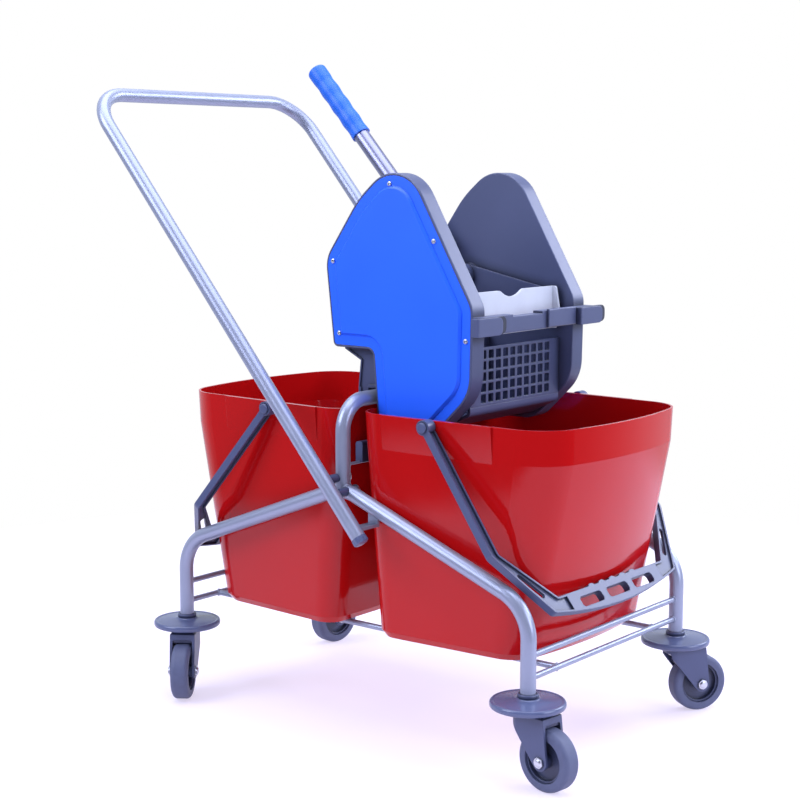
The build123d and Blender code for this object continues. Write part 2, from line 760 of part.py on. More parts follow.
def bucket():
    floor_z = BUCKET_BOTTOM + BUCKET_FLOOR_T
    heel_z = BUCKET_BOTTOM + BUCKET_HEEL
    band_z = RIM_Z - BUCKET_BAND_H
    outside = loft(
        [
            bucket_section(BUCKET_BOTTOM, BUCKET_HEEL_INSET),
            bucket_section(heel_z, 0),
            bucket_section(band_z, 0),
            bucket_section(RIM_Z, 0),
        ],
        ruled=True,
    )
    pad = pivot_pad()
    outside = outside + pad + mirror_y(pad)
    inside = loft(
        [
            bucket_section(floor_z, BUCKET_HEEL_INSET + BUCKET_WALL),
            bucket_section(floor_z + BUCKET_HEEL, BUCKET_WALL),
            bucket_section(band_z, BUCKET_WALL),
            bucket_section(RIM_Z, BUCKET_WALL),
        ],
        ruled=True,
    )
    shell = outside - inside
    for side in (-1, 1):
        seat_y = bail_face_y() - BAIL_EYE_GAP
        floor_y = seat_y - BAIL_PIN_SEAT
        shell -= bar_y(BAIL_PIVOT_X, BAIL_PIVOT_Z, side * floor_y, side * seat_y, BAIL_PIN_D)
    return shell


# Bails, drawn at the front end
def bail_face_y():
    """The inner face of a bail eye, just clear of its pad."""
    return side_wall_y(BAIL_PIVOT_X - BAIL_EYE_D / 2) + PAD_PROUD + BAIL_EYE_GAP


def bail_pins():
    seat_y = bail_face_y() - BAIL_EYE_GAP
    head_y = bail_face_y() + BAIL_STRAP_W + BAIL_EYE_GAP
    pin = bar_y(BAIL_PIVOT_X, BAIL_PIVOT_Z, seat_y - BAIL_PIN_SEAT, head_y, BAIL_PIN_D)
    pin += dome_y(BAIL_PIVOT_X, BAIL_PIVOT_Z, head_y, head_y + BAIL_PIN_HEAD_T, BAIL_PIN_HEAD_D)
    return pin + mirror_y(pin)


def bail_plane():
    """X down the arms from the pivot, Y across the trolley, Z out of the bail's front face."""
    lean = math.radians(BAIL_LEAN)
    return Plane(
        origin=(BAIL_PIVOT_X, 0, BAIL_PIVOT_Z),
        x_dir=(math.cos(lean), 0, -math.sin(lean)),
        z_dir=(math.sin(lean), 0, math.cos(lean)),
    )


def both_sides(points):
    """A line of points on the left, led up to by its mirror image on the right."""
    return [(x, -y) for x, y in reversed(points)] + points


def bail_form():
    """The flat bail: two arms that flare to a knee, close in again and meet in a bowed grip."""
    face_y = bail_face_y()
    corner = (BAIL_GRIP_AT, BAIL_GRIP_Y)
    flat_l = BAIL_EYE_D / 2
    outer_y = face_y + BAIL_STRAP_W
    outer = both_sides([(0, outer_y), (flat_l, outer_y), (BAIL_KNEE_AT, BAIL_KNEE_Y), corner])
    bow = ThreePointArc(corner, (BAIL_GRIP_AT + GRIP_BOW, 0), (BAIL_GRIP_AT, -BAIL_GRIP_Y))
    whole = make_face(Polyline(*outer) + bow)
    whole = fillet(whole.vertices().group_by(Axis.X)[-1], BAIL_CORNER_R)
    whole = fillet(whole.vertices().sort_by(Axis.Y)[-1], BAIL_KNEE_R)
    whole = fillet(whole.vertices().sort_by(Axis.Y)[0], BAIL_KNEE_R)
    inner_knee = (BAIL_KNEE_AT, BAIL_KNEE_Y - BAIL_STRAP_W)
    inner_corner = (BAIL_GRIP_AT - GRIP_DEPTH, GRIP_INNER_Y)
    inner = both_sides([(-flat_l, face_y), (flat_l, face_y), inner_knee, inner_corner])
    gap = make_face(Polyline(*inner, close=True))
    gap = fillet(gap.vertices().group_by(Axis.X)[-1], BAIL_INNER_R)
    gap = fillet(gap.vertices().sort_by(Axis.Y)[-1], BAIL_INNER_R)
    gap = fillet(gap.vertices().sort_by(Axis.Y)[0], BAIL_INNER_R)
    return whole - gap


def bail_openings():
    """The three finger holes of the grip and the long slot in each arm."""
    openings = Sketch()
    grip_x = BAIL_GRIP_AT - GRIP_DEPTH + GRIP_HOLE_AT
    for hole in range(GRIP_HOLES):
        hole_y = (hole - (GRIP_HOLES - 1) / 2) * GRIP_HOLE_PITCH
        openings += Pos(grip_x, hole_y) * RectangleRounded(GRIP_HOLE_W, GRIP_HOLE_L, GRIP_HOLE_R)
    knee = Vector(BAIL_KNEE_AT, BAIL_KNEE_Y - BAIL_STRAP_W / 2)
    corner = Vector(BAIL_GRIP_AT - GRIP_DEPTH / 2, (BAIL_GRIP_Y + GRIP_INNER_Y) / 2)
    run = corner - knee
    middle = knee + run * BAIL_SLOT_SHARE
    lean = math.degrees(math.atan2(run.Y, run.X))
    openings += Pos(middle.X, middle.Y) * SlotOverall(BAIL_SLOT_L, BAIL_SLOT_W, rotation=lean)
    openings += Pos(middle.X, -middle.Y) * SlotOverall(BAIL_SLOT_L, BAIL_SLOT_W, rotation=-lean)
    return openings


def bail():
    """One flat moulding: a rim round a thinner web, finger bumps on the grip and an eye on each arm."""
    form = bail_form()
    recess = offset(form, amount=-BAIL_RIM_T)
    recess -= Pos(BAIL_GRIP_AT, 0) * Rectangle(2 * GRIP_DEPTH + 2 * GRIP_BOW, 2 * GRIP_PLATE_Y)
    bumps = Sketch()
    for bump in range(GRIP_BUMPS):
        bump_y = (bump - (GRIP_BUMPS - 1) / 2) * GRIP_BUMP_PITCH
        bump_x = BAIL_GRIP_AT - GRIP_DEPTH - GRIP_BUMP_H + GRIP_BUMP_D / 2
        disc = Pos(bump_x, bump_y) * Circle(GRIP_BUMP_D / 2)
        keep_x = BAIL_GRIP_AT - GRIP_DEPTH
        bumps += disc & (Pos(keep_x, bump_y) * Rectangle(2 * GRIP_BUMP_H, GRIP_BUMP_D))
    plane = bail_plane()
    plate = extrude(plane * (form + bumps), amount=BAIL_STRAP_T / 2, both=True)
    for side in (-1, 1):
        plate -= extrude(plane.offset(side * BAIL_WEB_T / 2) * recess, amount=side * BAIL_STRAP_T)
    plate -= extrude(plane * bail_openings(), amount=BAIL_STRAP_T, both=True)
    face_y = bail_face_y()
    for side in (-1, 1):
        plate += bar_y(BAIL_PIVOT_X, BAIL_PIVOT_Z, side * face_y, side * (face_y + BAIL_STRAP_W), BAIL_EYE_D)
    bore = BAIL_PIN_D + 2 * BAIL_PIN_GAP
    return plate - bar_y(BAIL_PIVOT_X, BAIL_PIVOT_Z, -2 * face_y, 2 * face_y, bore)


# Wringer housings, drawn on the left
def housing_outline(inset):
    tail = (OUTLINE_TAIL_X, SADDLE_Z + OUTLINE_NOTCH_Z)
    back = (OUTLINE_BACK_X, SADDLE_Z + OUTLINE_BACK_Z)
    brow = (OUTLINE_BROW_X, SADDLE_Z + OUTLINE_BROW_Z)
    top = (OUTLINE_TOP_X, SADDLE_Z + OUTLINE_TOP_Z)
    nose = (OUTLINE_NOSE_X, SADDLE_Z + OUTLINE_NOSE_Z)
    chin = (OUTLINE_CHIN_X, SADDLE_Z + OUTLINE_CHIN_Z)
    foot = (OUTLINE_FOOT_X, SADDLE_Z + OUTLINE_FOOT_Z)
    heel = (OUTLINE_HEEL_X, SADDLE_Z + OUTLINE_FOOT_Z)
    notch = (OUTLINE_NOTCH_X, SADDLE_Z + OUTLINE_NOTCH_Z)
    corners = (tail, back, brow, top, nose, chin, foot, heel, notch)
    line = FilletPolyline(*corners, radius=OUTLINE_RADII, close=True)
    face = make_face(line)
    if inset > 0:
        face = offset(face, amount=-inset)
    return face


def screw_places():
    return [(x, SADDLE_Z + z) for x, z in SCREW_PLACES]


def housing():
    shell = slab_y(housing_outline(0), HOUSING_INNER_Y, HOUSING_OUTER_Y)
    side_faces = shell.faces().filter_by(Axis.Y)
    shell = fillet(side_faces.edges(), HOUSING_EDGE_R)
    shell -= slab_y(housing_outline(HOUSING_WALL), HOUSING_INNER_Y + HOUSING_WALL, HOUSING_OUTER_Y)
    for x, z in screw_places():
        post = bar_y(x, z, HOUSING_INNER_Y + HOUSING_WALL, COVER_SEAT_Y, SCREW_BOSS_D)
        shell += post - bar_y(x, z, COVER_SEAT_Y - SCREW_BITE, COVER_SEAT_Y, SCREW_D)
    shell += bar_y(*JAW_SHAFT, HOUSING_INNER_Y - BOSS_H, HOUSING_INNER_Y, BOSS_D)
    plate_y = HOUSING_INNER_Y + HOUSING_WALL
    shell -= bar_y(*JAW_SHAFT, HOUSING_INNER_Y - BOSS_H, plate_y, BUSH_D)
    shell -= bar_y(*LEVER_SHAFT, HOUSING_INNER_Y, plate_y, BUSH_D)
    return shell


def cover():
    plate = slab_y(housing_outline(HOUSING_WALL + COVER_GAP), COVER_SEAT_Y, HOUSING_OUTER_Y)
    field = slab_y(housing_outline(COVER_FIELD_INSET), HOUSING_OUTER_Y, HOUSING_OUTER_Y + COVER_FIELD_T)
    face_edges = field.faces().sort_by(Axis.Y)[-1].edges()
    plate += chamfer(face_edges, COVER_FIELD_EDGE)
    for x, z in screw_places():
        plate -= bar_y(x, z, COVER_SEAT_Y, HOUSING_OUTER_Y, SCREW_D)
        room_d = SCREW_HEAD_D + 2 * SCREW_HEAD_ROOM
        plate -= bar_y(x, z, HOUSING_OUTER_Y, HOUSING_OUTER_Y + COVER_FIELD_T, room_d)
    return plate


def cover_screws():
    screws = Part()
    for x, z in screw_places():
        screw = bar_y(x, z, COVER_SEAT_Y - SCREW_BITE, HOUSING_OUTER_Y, SCREW_D)
        screw += dome_y(x, z, HOUSING_OUTER_Y, HOUSING_OUTER_Y + SCREW_HEAD_T, SCREW_HEAD_D)
        screws += screw
    return screws + mirror_y(screws)


def shaft_bushes():
    plate_y = HOUSING_INNER_Y + HOUSING_WALL
    bushes = Part()
    for place, start_y in ((JAW_SHAFT, HOUSING_INNER_Y - BOSS_H), (LEVER_SHAFT, HOUSING_INNER_Y)):
        bush = bar_y(*place, start_y, plate_y, BUSH_D)
        bush += bar_y(*place, plate_y, plate_y + BUSH_FLANGE_T, BUSH_FLANGE_D)
        bush -= bar_y(*place, start_y, plate_y + BUSH_FLANGE_T, SHAFT_D + 2 * SHAFT_GAP)
        bushes += bush
    return bushes + mirror_y(bushes)


# Gears
def tooth_points(teeth, middle):
    """One involute tooth about a direction, from root to root, as X and Z offsets from the gear centre."""
    pitch_r = GEAR_MODULE * teeth / 2
    base_r = pitch_r * math.cos(math.radians(PRESSURE_ANGLE))
    tip_r = pitch_r + GEAR_MODULE * TOOTH_ADDENDUM
    root_r = pitch_r - GEAR_MODULE * TOOTH_DEDENDUM
    flank_start = max(base_r, root_r)

    def involute(r):
        angle = math.acos(min(1.0, base_r / r))
        return math.tan(angle) - angle

    half_pitch = math.pi / (2 * teeth) - TOOTH_BACKLASH / (4 * pitch_r)
    flank = [(root_r, half_pitch + involute(pitch_r))]
    for step in range(TOOTH_FLANK_STEPS + 1):
        r = flank_start + (tip_r - flank_start) * step / TOOTH_FLANK_STEPS
        flank.append((r, half_pitch + involute(pitch_r) - involute(r)))
    rising = [(r, middle - half) for r, half in flank]
    falling = [(r, middle + half) for r, half in reversed(flank)]
    return [(r * math.cos(a), r * math.sin(a)) for r, a in rising + falling]


def gear_face(centre, teeth, first_angle, count):
    """Some or all of a gear's teeth, counted from a first tooth, on a full root disc."""
    step = 2 * math.pi / teeth
    points = []
    for tooth in range(count):
        points += tooth_points(teeth, math.radians(first_angle) + step * tooth)
    if count < teeth:
        points.append((0, 0))
    return Pos(*centre) * make_face(Polyline(*points, close=True))


def keyed_bore(face, centre):
    return face - Pos(*centre) * Circle(SHAFT_D / 2)


def lever_pinions():
    face = gear_face(LEVER_SHAFT, PINION_TOOTH_COUNT, GEAR_LINE + 180, PINION_TOOTH_COUNT)
    pinion = slab_y(keyed_bore(face, LEVER_SHAFT), GEAR_Y0, GEAR_Y1)
    return pinion + mirror_y(pinion)


def jaw_gears():
    tooth_angle = 360 / JAW_GEAR_TOOTH_COUNT
    first = GEAR_LINE - JAW_TEETH_LEAD * tooth_angle
    face = gear_face(JAW_SHAFT, JAW_GEAR_TOOTH_COUNT, first, JAW_TOOTH_COUNT)
    face += Pos(*JAW_SHAFT) * Circle(GEAR_HUB_D / 2)
    gear = slab_y(keyed_bore(face, JAW_SHAFT), GEAR_Y0, GEAR_Y1)
    return gear + mirror_y(gear)


def cross_shaft(place):
    return bar_y(*place, -SHAFT_END_Y, SHAFT_END_Y, SHAFT_D)


def return_spring():
    """A short torsion spring round the lever shaft, in the right housing, with a leg on the rim wall."""
    flange_y = HOUSING_INNER_Y + HOUSING_WALL + BUSH_FLANGE_T
    coil_l = GEAR_Y0 - flange_y - 2 * SPRING_SEAT_GAP - SPRING_WIRE_D
    coil = Helix(coil_l / SPRING_TURNS, coil_l, SPRING_D / 2)
    wire = sweep(Plane(coil @ 0, z_dir=coil % 0) * Circle(SPRING_WIRE_D / 2), path=coil)
    back = Vector(OUTLINE_BACK_X, SADDLE_Z + OUTLINE_BACK_Z)
    slope = Vector(OUTLINE_BROW_X, SADDLE_Z + OUTLINE_BROW_Z) - back
    away = Vector(-slope.Y, slope.X).normalized()
    leg_l = (back - Vector(*LEVER_SHAFT)).dot(away) - HOUSING_WALL - SPRING_SEAT_GAP
    leg_plane = Plane(coil @ 0, z_dir=coil % 0 * -1)
    wire += extrude(leg_plane * Circle(SPRING_WIRE_D / 2), amount=leg_l)
    leg_turn = 270 - math.degrees(math.atan2(away.Y, away.X))
    start_y = -(flange_y + SPRING_SEAT_GAP + SPRING_WIRE_D / 2)
    return Pos(LEVER_SHAFT[0], start_y, LEVER_SHAFT[1]) * (Rot(0, leg_turn, 0) * (Rot(90, 0, 0) * wire))


# Lever
def lever_plane():
    angle = math.radians(LEVER_ANGLE)
    return Plane(
        origin=(LEVER_SHAFT[0], LEVER_Y, LEVER_SHAFT[1]),
        x_dir=(0, 1, 0),
        z_dir=(math.cos(angle), 0, math.sin(angle)),
    )


def lever_socket():
    hub = bar_y(*LEVER_SHAFT, LEVER_Y - SOCKET_HUB_W / 2, LEVER_Y + SOCKET_HUB_W / 2, SOCKET_HUB_D)
    neck = Cylinder(SOCKET_NECK_D / 2, SOCKET_NECK_L, align=BASE)
    neck_rim = neck.edges().filter_by(GeomType.CIRCLE).sort_by(Axis.Z)[-1]
    neck = chamfer(neck_rim, (SOCKET_NECK_D - LEVER_TUBE_D) / 4)
    bore_l = SOCKET_NECK_L - LEVER_TUBE_START
    bore = Pos(0, 0, LEVER_TUBE_START) * Cylinder(LEVER_TUBE_D / 2 + SOCKET_FIT, bore_l, align=BASE)
    socket = hub + lever_plane().location * neck - lever_plane().location * bore
    return socket - bar_y(*LEVER_SHAFT, LEVER_Y - SOCKET_HUB_W, LEVER_Y + SOCKET_HUB_W, SHAFT_D)


def lever_tube():
    length = GRIP_START + GRIP_L - GRIP_END_T - LEVER_TUBE_START
    ring = Circle(LEVER_TUBE_D / 2) - Circle(LEVER_TUBE_D / 2 - TUBE_T)
    return lever_plane().location * (Pos(0, 0, LEVER_TUBE_START) * extrude(ring, amount=length))


def lever_grip():
    """A moulded grip with shallow finger waves, closed and rounded at its end."""
    wave_l = GRIP_L / (GRIP_WAVES + 0.5)
    points = []
    for step in range(2 * GRIP_WAVES + 1):
        dip = GRIP_WAVE_DEPTH if step % 2 else 0.0
        points.append((GRIP_D / 2 - dip, wave_l * step / 2))
    side = Spline(*points, tangents=[(0, 1), (0, 1)])
    crown = Polyline(points[-1], (GRIP_D / 2, GRIP_L), (0, GRIP_L), (0, 0), points[0])
    section = make_face(side + crown)
    corner = section.vertices().sort_by_distance((GRIP_D / 2, GRIP_L, 0))[0]
    section = fillet(corner, GRIP_END_R)
    grip = revolve(Plane.XZ * section, axis=Axis.Z)
    grip -= Cylinder(LEVER_TUBE_D / 2, GRIP_L - GRIP_END_T, align=BASE)
    return lever_plane().location * (Pos(0, 0, GRIP_START) * grip)


# Press jaw
def press_jaw():
    axis_x, axis_z = JAW_SHAFT
    front_x = axis_x + JAW_REACH
    top_z = axis_z - JAW_TOP_DROP
    bottom_z = axis_z - JAW_BOTTOM_DROP
    sheet = Pos(0, (top_z + bottom_z) / 2) * Rectangle(2 * JAW_HALF_W, top_z - bottom_z)
    sheet -= Pos(JAW_SCOOP_Y, top_z - JAW_SCOOP_H + JAW_SCOOP_R) * Circle(JAW_SCOOP_R)
    top_corners = sheet.vertices().group_by(Axis.Y)[-1].sort_by(Axis.X)
    sheet = fillet(top_corners[1:-1], JAW_SCOOP_EDGE_R)
    plate = extrude(Plane.YZ.offset(front_x - JAW_PLATE_T) * sheet, amount=JAW_PLATE_T)
    flange = make_face(
        Polyline(
            (front_x, top_z),
            (front_x + JAW_FLANGE_TOP, top_z),
            (front_x + JAW_FLANGE_REACH, axis_z - JAW_FLANGE_DROP),
            (front_x + JAW_FLANGE_TOP, bottom_z),
            (front_x, bottom_z),
            close=True,
        )
    )
    tip = flange.vertices().sort_by_distance((front_x + JAW_FLANGE_TOP, top_z, 0))[0]
    flange = fillet(tip, JAW_CORNER_R)
    back_x = front_x - JAW_PLATE_T
    inner_y = JAW_HALF_W - JAW_FLANGE_T
    side = slab_y(flange, inner_y, JAW_HALF_W)
    jaw = plate + side + mirror_y(side)
    half_t = JAW_RIB_T / 2
    for rib in range(JAW_RIBS):
        rib_z = bottom_z + (rib + 0.5) * (top_z - JAW_SCOOP_H - bottom_z) / JAW_RIBS
        jaw += block(back_x - JAW_RIB_D, back_x, -inner_y, inner_y, rib_z - half_t, rib_z + half_t)
    return jaw


def jaw_arms():
    """An arm on each side from the hub on the jaw shaft to the back of the jaw plate."""
    axis_x, axis_z = JAW_SHAFT
    back_x = axis_x + JAW_REACH - JAW_PLATE_T
    foot_z = axis_z - JAW_BOTTOM_DROP + JAW_ARM_FOOT
    arm_end = Line((back_x, axis_z - JAW_ARM_DROP), (back_x, foot_z))
    hub = Pos(axis_x, axis_z) * Circle(JAW_HUB_D / 2)
    arm = make_hull(hub.edges() + arm_end.edges())
    side = slab_y(arm, JAW_HALF_W - JAW_FLANGE_T, JAW_HALF_W)
    side += bar_y(*JAW_SHAFT, JAW_HALF_W - JAW_HUB_W, JAW_HALF_W, JAW_HUB_D)
    side -= bar_y(*JAW_SHAFT, 0, JAW_HALF_W, SHAFT_D)
    return side + mirror_y(side)


# Basket, grille, hanger and rail
def basket():
    half_w = HOUSING_INNER_Y - BASKET_SIDE_GAP
    mid = BASKET_T / 2
    foot_z = SADDLE_Z + GRILLE_FOOT_Z
    floor_z = SADDLE_Z + BASKET_FLOOR_Z - mid
    line = FilletPolyline(
        (BASKET_FRONT_X - mid, foot_z),
        (BASKET_FRONT_X - mid, foot_z - BASKET_LIP_H),
        (BASKET_FLOOR_X, floor_z),
        (BASKET_REAR_X + mid, floor_z),
        (BASKET_REAR_TOP_X + mid, SADDLE_Z + BASKET_REAR_TOP_Z),
        radius=[BASKET_LIP_BEND_R, BASKET_BEND_R, BASKET_BEND_R],
    )
    tray = slab_y(trace(line, BASKET_T), -half_w, half_w)
    middle_x = (BASKET_FLOOR_X + BASKET_REAR_X) / 2
    for row in range(DRAIN_ROWS):
        for column in range(DRAIN_COLUMNS):
            x = middle_x + (row - (DRAIN_ROWS - 1) / 2) * DRAIN_ROW_PITCH
            y = (column - (DRAIN_COLUMNS - 1) / 2) * DRAIN_PITCH
            slot = Pos(x, y) * SlotOverall(DRAIN_L, DRAIN_W)
            tray -= slab_z(slot, floor_z - BASKET_T, floor_z + BASKET_T)
    return tray


def front_grille():
    half_w = HOUSING_INNER_Y - BASKET_SIDE_GAP
    height = GRILLE_TOP_Z - GRILLE_FOOT_Z
    middle_z = SADDLE_Z + (GRILLE_TOP_Z + GRILLE_FOOT_Z) / 2
    panel = Rectangle(2 * half_w, height)
    hole = RectangleRounded(GRILLE_HOLE, GRILLE_HOLE, GRILLE_HOLE_R)
    grid = GridLocations(GRILLE_PITCH_Y, GRILLE_PITCH_Z, GRILLE_COLUMNS, GRILLE_ROWS)
    for place in grid:
        panel -= place * hole
    plane = Plane.YZ.offset(BASKET_FRONT_X - GRILLE_T)
    return extrude(plane * (Pos(0, middle_z) * panel), amount=GRILLE_T)


def hanger_outline():
    """A rib from the side: it hooks over the hoop bar and reaches back under the housings."""
    leg_x = -TUBE_R - HANGER_LEG_GAP
    tail_z = SADDLE_Z + OUTLINE_NOTCH_Z
    line = Polyline(
        (HANGER_FRONT_X, tail_z),
        (HANGER_FRONT_X, SADDLE_Z),
        (0, SADDLE_Z),
        (leg_x, SADDLE_Z),
        (leg_x, SADDLE_Z - HANGER_LEG_DROP),
        (leg_x - HANGER_LEG_W, SADDLE_Z - HANGER_LEG_DROP),
        (leg_x - HANGER_LEG_W, SADDLE_Z),
        (HANGER_WAIST_X, SADDLE_Z + HANGER_WAIST_Z),
        (HANGER_TAIL_X, tail_z - HANGER_T),
        (HANGER_TAIL_X, tail_z),
        close=True,
    )
    return make_face(line)


def rear_hanger():
    notch_x = OUTLINE_NOTCH_X - OUTLINE_RADII[-1]
    tail_z = SADDLE_Z + OUTLINE_NOTCH_Z
    leg_x = -TUBE_R - HANGER_LEG_GAP
    web = hanger_outline()
    edge = web - offset(web, amount=-HANGER_RIB_EDGE)
    hanger = Part()
    for y in HANGER_RIB_YS:
        hanger += slab_y(web, y - HANGER_RIB_T / 2, y + HANGER_RIB_T / 2)
        hanger += slab_y(edge, y - HANGER_RIB_EDGE_W / 2, y + HANGER_RIB_EDGE_W / 2)
    half_w = HANGER_HALF_W
    hanger += block(HANGER_TAIL_X, notch_x, -half_w, half_w, tail_z - HANGER_T, tail_z)
    hanger += block(leg_x, HANGER_FRONT_X, -half_w, half_w, SADDLE_Z, SADDLE_Z + HANGER_T)
    back_x = leg_x - HANGER_LEG_W
    hanger += block(back_x, back_x + HANGER_T, -half_w, half_w, SADDLE_Z - HANGER_LEG_DROP, SADDLE_Z)
    inside = slab_y(housing_outline(0), HOUSING_INNER_Y, HOUSING_OUTER_Y)
    return hanger - inside - mirror_y(inside)


def rail_clip(front_x, start_y, z0):
    """A spring clip on the rail's front: closed at its right end, open towards the left."""
    slot_x = front_x + CLIP_BACK_T
    finger_x = slot_x + CLIP_SLOT
    middle_z = z0 + RAIL_H / 2
    back_plate = block(front_x, slot_x, start_y, start_y + CLIP_BACK_L, z0, z0 + RAIL_H)
    finger = block(finger_x, finger_x + CLIP_T, start_y, start_y + CLIP_L, z0, z0 + RAIL_H)
    back_ends = back_plate.edges().filter_by(Axis.X).group_by(Axis.Y)[-1]
    finger_ends = finger.edges().filter_by(Axis.X).group_by(Axis.Y)[-1]
    clip = fillet(back_ends, CLIP_END_R) + fillet(finger_ends, CLIP_END_R)
    clip += block(slot_x, finger_x, start_y, start_y + CLIP_T, z0, z0 + RAIL_H)
    bend = clip.edges().filter_by(Axis.Z).sort_by_distance((finger_x + CLIP_T, start_y, middle_z))[0]
    return fillet(bend, CLIP_BEND_R)


def front_rail():
    back_x = OUTLINE_NOSE_X + RAIL_GAP
    front_x = back_x + RAIL_FRONT_D
    z0 = SADDLE_Z + RAIL_Z0
    z1 = z0 + RAIL_H
    rail = block(back_x, front_x, -HOUSING_OUTER_Y, HOUSING_OUTER_Y, z0, z1)
    rail -= block(back_x, front_x, RAIL_RECESS_Y0, RAIL_RECESS_Y1, z1 - RAIL_RECESS_H, z1)
    raised = block(front_x, front_x + BLOCK_PROUD, BLOCK_Y0, BLOCK_Y1, z0 + BLOCK_FOOT, z1 + BLOCK_RISE)
    rail += fillet(raised.faces().sort_by(Axis.X)[-1].edges(), BLOCK_EDGE_R)
    rail += rail_clip(front_x, -CLIP_REACH, z0)
    rail += rail_clip(front_x, CLIP_REACH - CLIP_BACK_L, z0)
    for side in (-1, 1):
        y0 = min(side * HOUSING_INNER_Y, side * HOUSING_OUTER_Y)
        y1 = max(side * HOUSING_INNER_Y, side * HOUSING_OUTER_Y)
        lug = block(back_x - RAIL_FRONT_D, back_x, y0, y1, z0, z1)
        lug -= slab_y(housing_outline(0), y0, y1)
        rail += lug
    return rail


# All nodes
def build_nodes():
    nodes = {}
    nodes["side_frame_left"] = side_frame(LEG_Y)
    nodes["side_frame_right"] = side_frame(-LEG_Y)
    nodes["centre_hoop"] = centre_hoop()
    nodes["divider_wire"] = divider_wire()
    nodes["divider_bar"] = divider_bar()
    rods = end_rods()
    nodes["front_end_rods"] = rods
    nodes["rear_end_rods"] = mirror_x(rods)
    nodes["base_rails"] = base_rails(rods)
    nodes["handle_bow"] = handle_bow()
    nodes["handle_end_plugs"] = handle_end_plugs()
    nodes["handle_spacers"] = handle_spacers()
    nodes["handle_bolts"] = handle_bolts()
    nodes["handle_brackets"] = handle_brackets()
    stems = Part()
    for corner, (x, y) in CORNERS.items():
        stand = Pos(x, y, 0)
        turned = stand * Rot(0, 0, REST_TURN[corner])
        stems += stand * castor_stem()
        nodes[corner + "_bumper"] = stand * castor_bumper()
        nodes[corner + "_fork"] = turned * castor_fork()
        nodes[corner + "_axle_bolt"] = turned * castor_axle_bolt()
        nodes[corner + "_tyre"] = turned * castor_tyre()
        nodes[corner + "_hub"] = turned * castor_hub()
    nodes["caster_stems"] = stems
    nodes["front_bucket"] = bucket()
    nodes["rear_bucket"] = mirror_x(nodes["front_bucket"])
    nodes["front_bail"] = bail()
    nodes["rear_bail"] = mirror_x(nodes["front_bail"])
    nodes["front_bail_pins"] = bail_pins()
    nodes["rear_bail_pins"] = mirror_x(nodes["front_bail_pins"])
    nodes["left_housing"] = housing()
    nodes["right_housing"] = mirror_y(nodes["left_housing"])
    nodes["left_cover"] = cover()
    nodes["right_cover"] = mirror_y(nodes["left_cover"])
    nodes["cover_screws"] = cover_screws()
    nodes["shaft_bushes"] = shaft_bushes()
    nodes["basket"] = basket()
    nodes["front_grille"] = front_grille()
    nodes["rear_hanger"] = rear_hanger()
    nodes["front_rail"] = front_rail()
    nodes["press_jaw"] = press_jaw()
    nodes["jaw_arms"] = jaw_arms()
    nodes["jaw_shaft"] = cross_shaft(JAW_SHAFT)
    nodes["jaw_gears"] = jaw_gears()
    nodes["lever_shaft"] = cross_shaft(LEVER_SHAFT)
    nodes["lever_pinions"] = lever_pinions()
    nodes["lever_socket"] = lever_socket()
    nodes["lever_tube"] = lever_tube()
    nodes["lever_grip"] = lever_grip()
    nodes["return_spring"] = return_spring()
    return nodes


os.makedirs("parts", exist_ok=True)
for name, shape in build_nodes().items():
    export_step(shape, "parts/" + name + ".step")
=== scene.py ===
# %% [markdown]
# # A two-bucket mop trolley, dressed for a studio picture
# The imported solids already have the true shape, so this lesson leaves every solid where it is. It gives each
# one the finish of the real material, adds the small things that a welder or a moulder leaves behind, and
# lights the whole like a catalogue picture on white.

# %% Load the fixed frame
import json
import math

import bmesh
import bpy
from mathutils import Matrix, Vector


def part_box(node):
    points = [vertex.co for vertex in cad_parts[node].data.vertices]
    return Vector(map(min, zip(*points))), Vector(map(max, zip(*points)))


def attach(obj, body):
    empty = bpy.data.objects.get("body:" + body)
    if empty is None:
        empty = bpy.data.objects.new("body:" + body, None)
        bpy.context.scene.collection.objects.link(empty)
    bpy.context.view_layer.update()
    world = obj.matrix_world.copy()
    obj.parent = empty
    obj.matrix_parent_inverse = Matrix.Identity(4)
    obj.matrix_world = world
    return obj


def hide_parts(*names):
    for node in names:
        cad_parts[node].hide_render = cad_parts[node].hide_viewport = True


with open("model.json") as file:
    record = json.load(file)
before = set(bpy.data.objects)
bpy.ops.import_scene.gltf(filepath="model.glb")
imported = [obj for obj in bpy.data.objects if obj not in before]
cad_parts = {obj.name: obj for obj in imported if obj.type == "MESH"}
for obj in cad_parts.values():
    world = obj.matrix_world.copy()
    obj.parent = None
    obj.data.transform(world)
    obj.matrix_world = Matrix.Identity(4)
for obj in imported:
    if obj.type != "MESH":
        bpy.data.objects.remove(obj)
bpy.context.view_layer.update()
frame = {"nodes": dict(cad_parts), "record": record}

nodes = frame["nodes"]

# %% [markdown]
# ## The camera
# A camera can be placed by eye or fitted. This one was fitted: the four bumper discs and the end rods fix the
# height, the distance and the lens, so a point of the solids lands where the picture has it. A long lens from a
# low stand keeps the tubes nearly parallel.

# %% Put up the camera
MM = 0.001
SENSOR_MM = 36.0
LENS_MM = 75.43
CAMERA_PLACE_MM = (1427.4, -1846.3, 758.2)
CAMERA_AZIMUTH = 38.665
CAMERA_ELEVATION = 7.865
CAMERA_ROLL = 0.114


def direction(azimuth, elevation):
    """Unit vector from the trolley towards a viewer at these angles, in degrees."""
    a = math.radians(azimuth)
    e = math.radians(elevation)
    return Vector((math.sin(a) * math.cos(e), -math.cos(a) * math.cos(e), math.sin(e)))


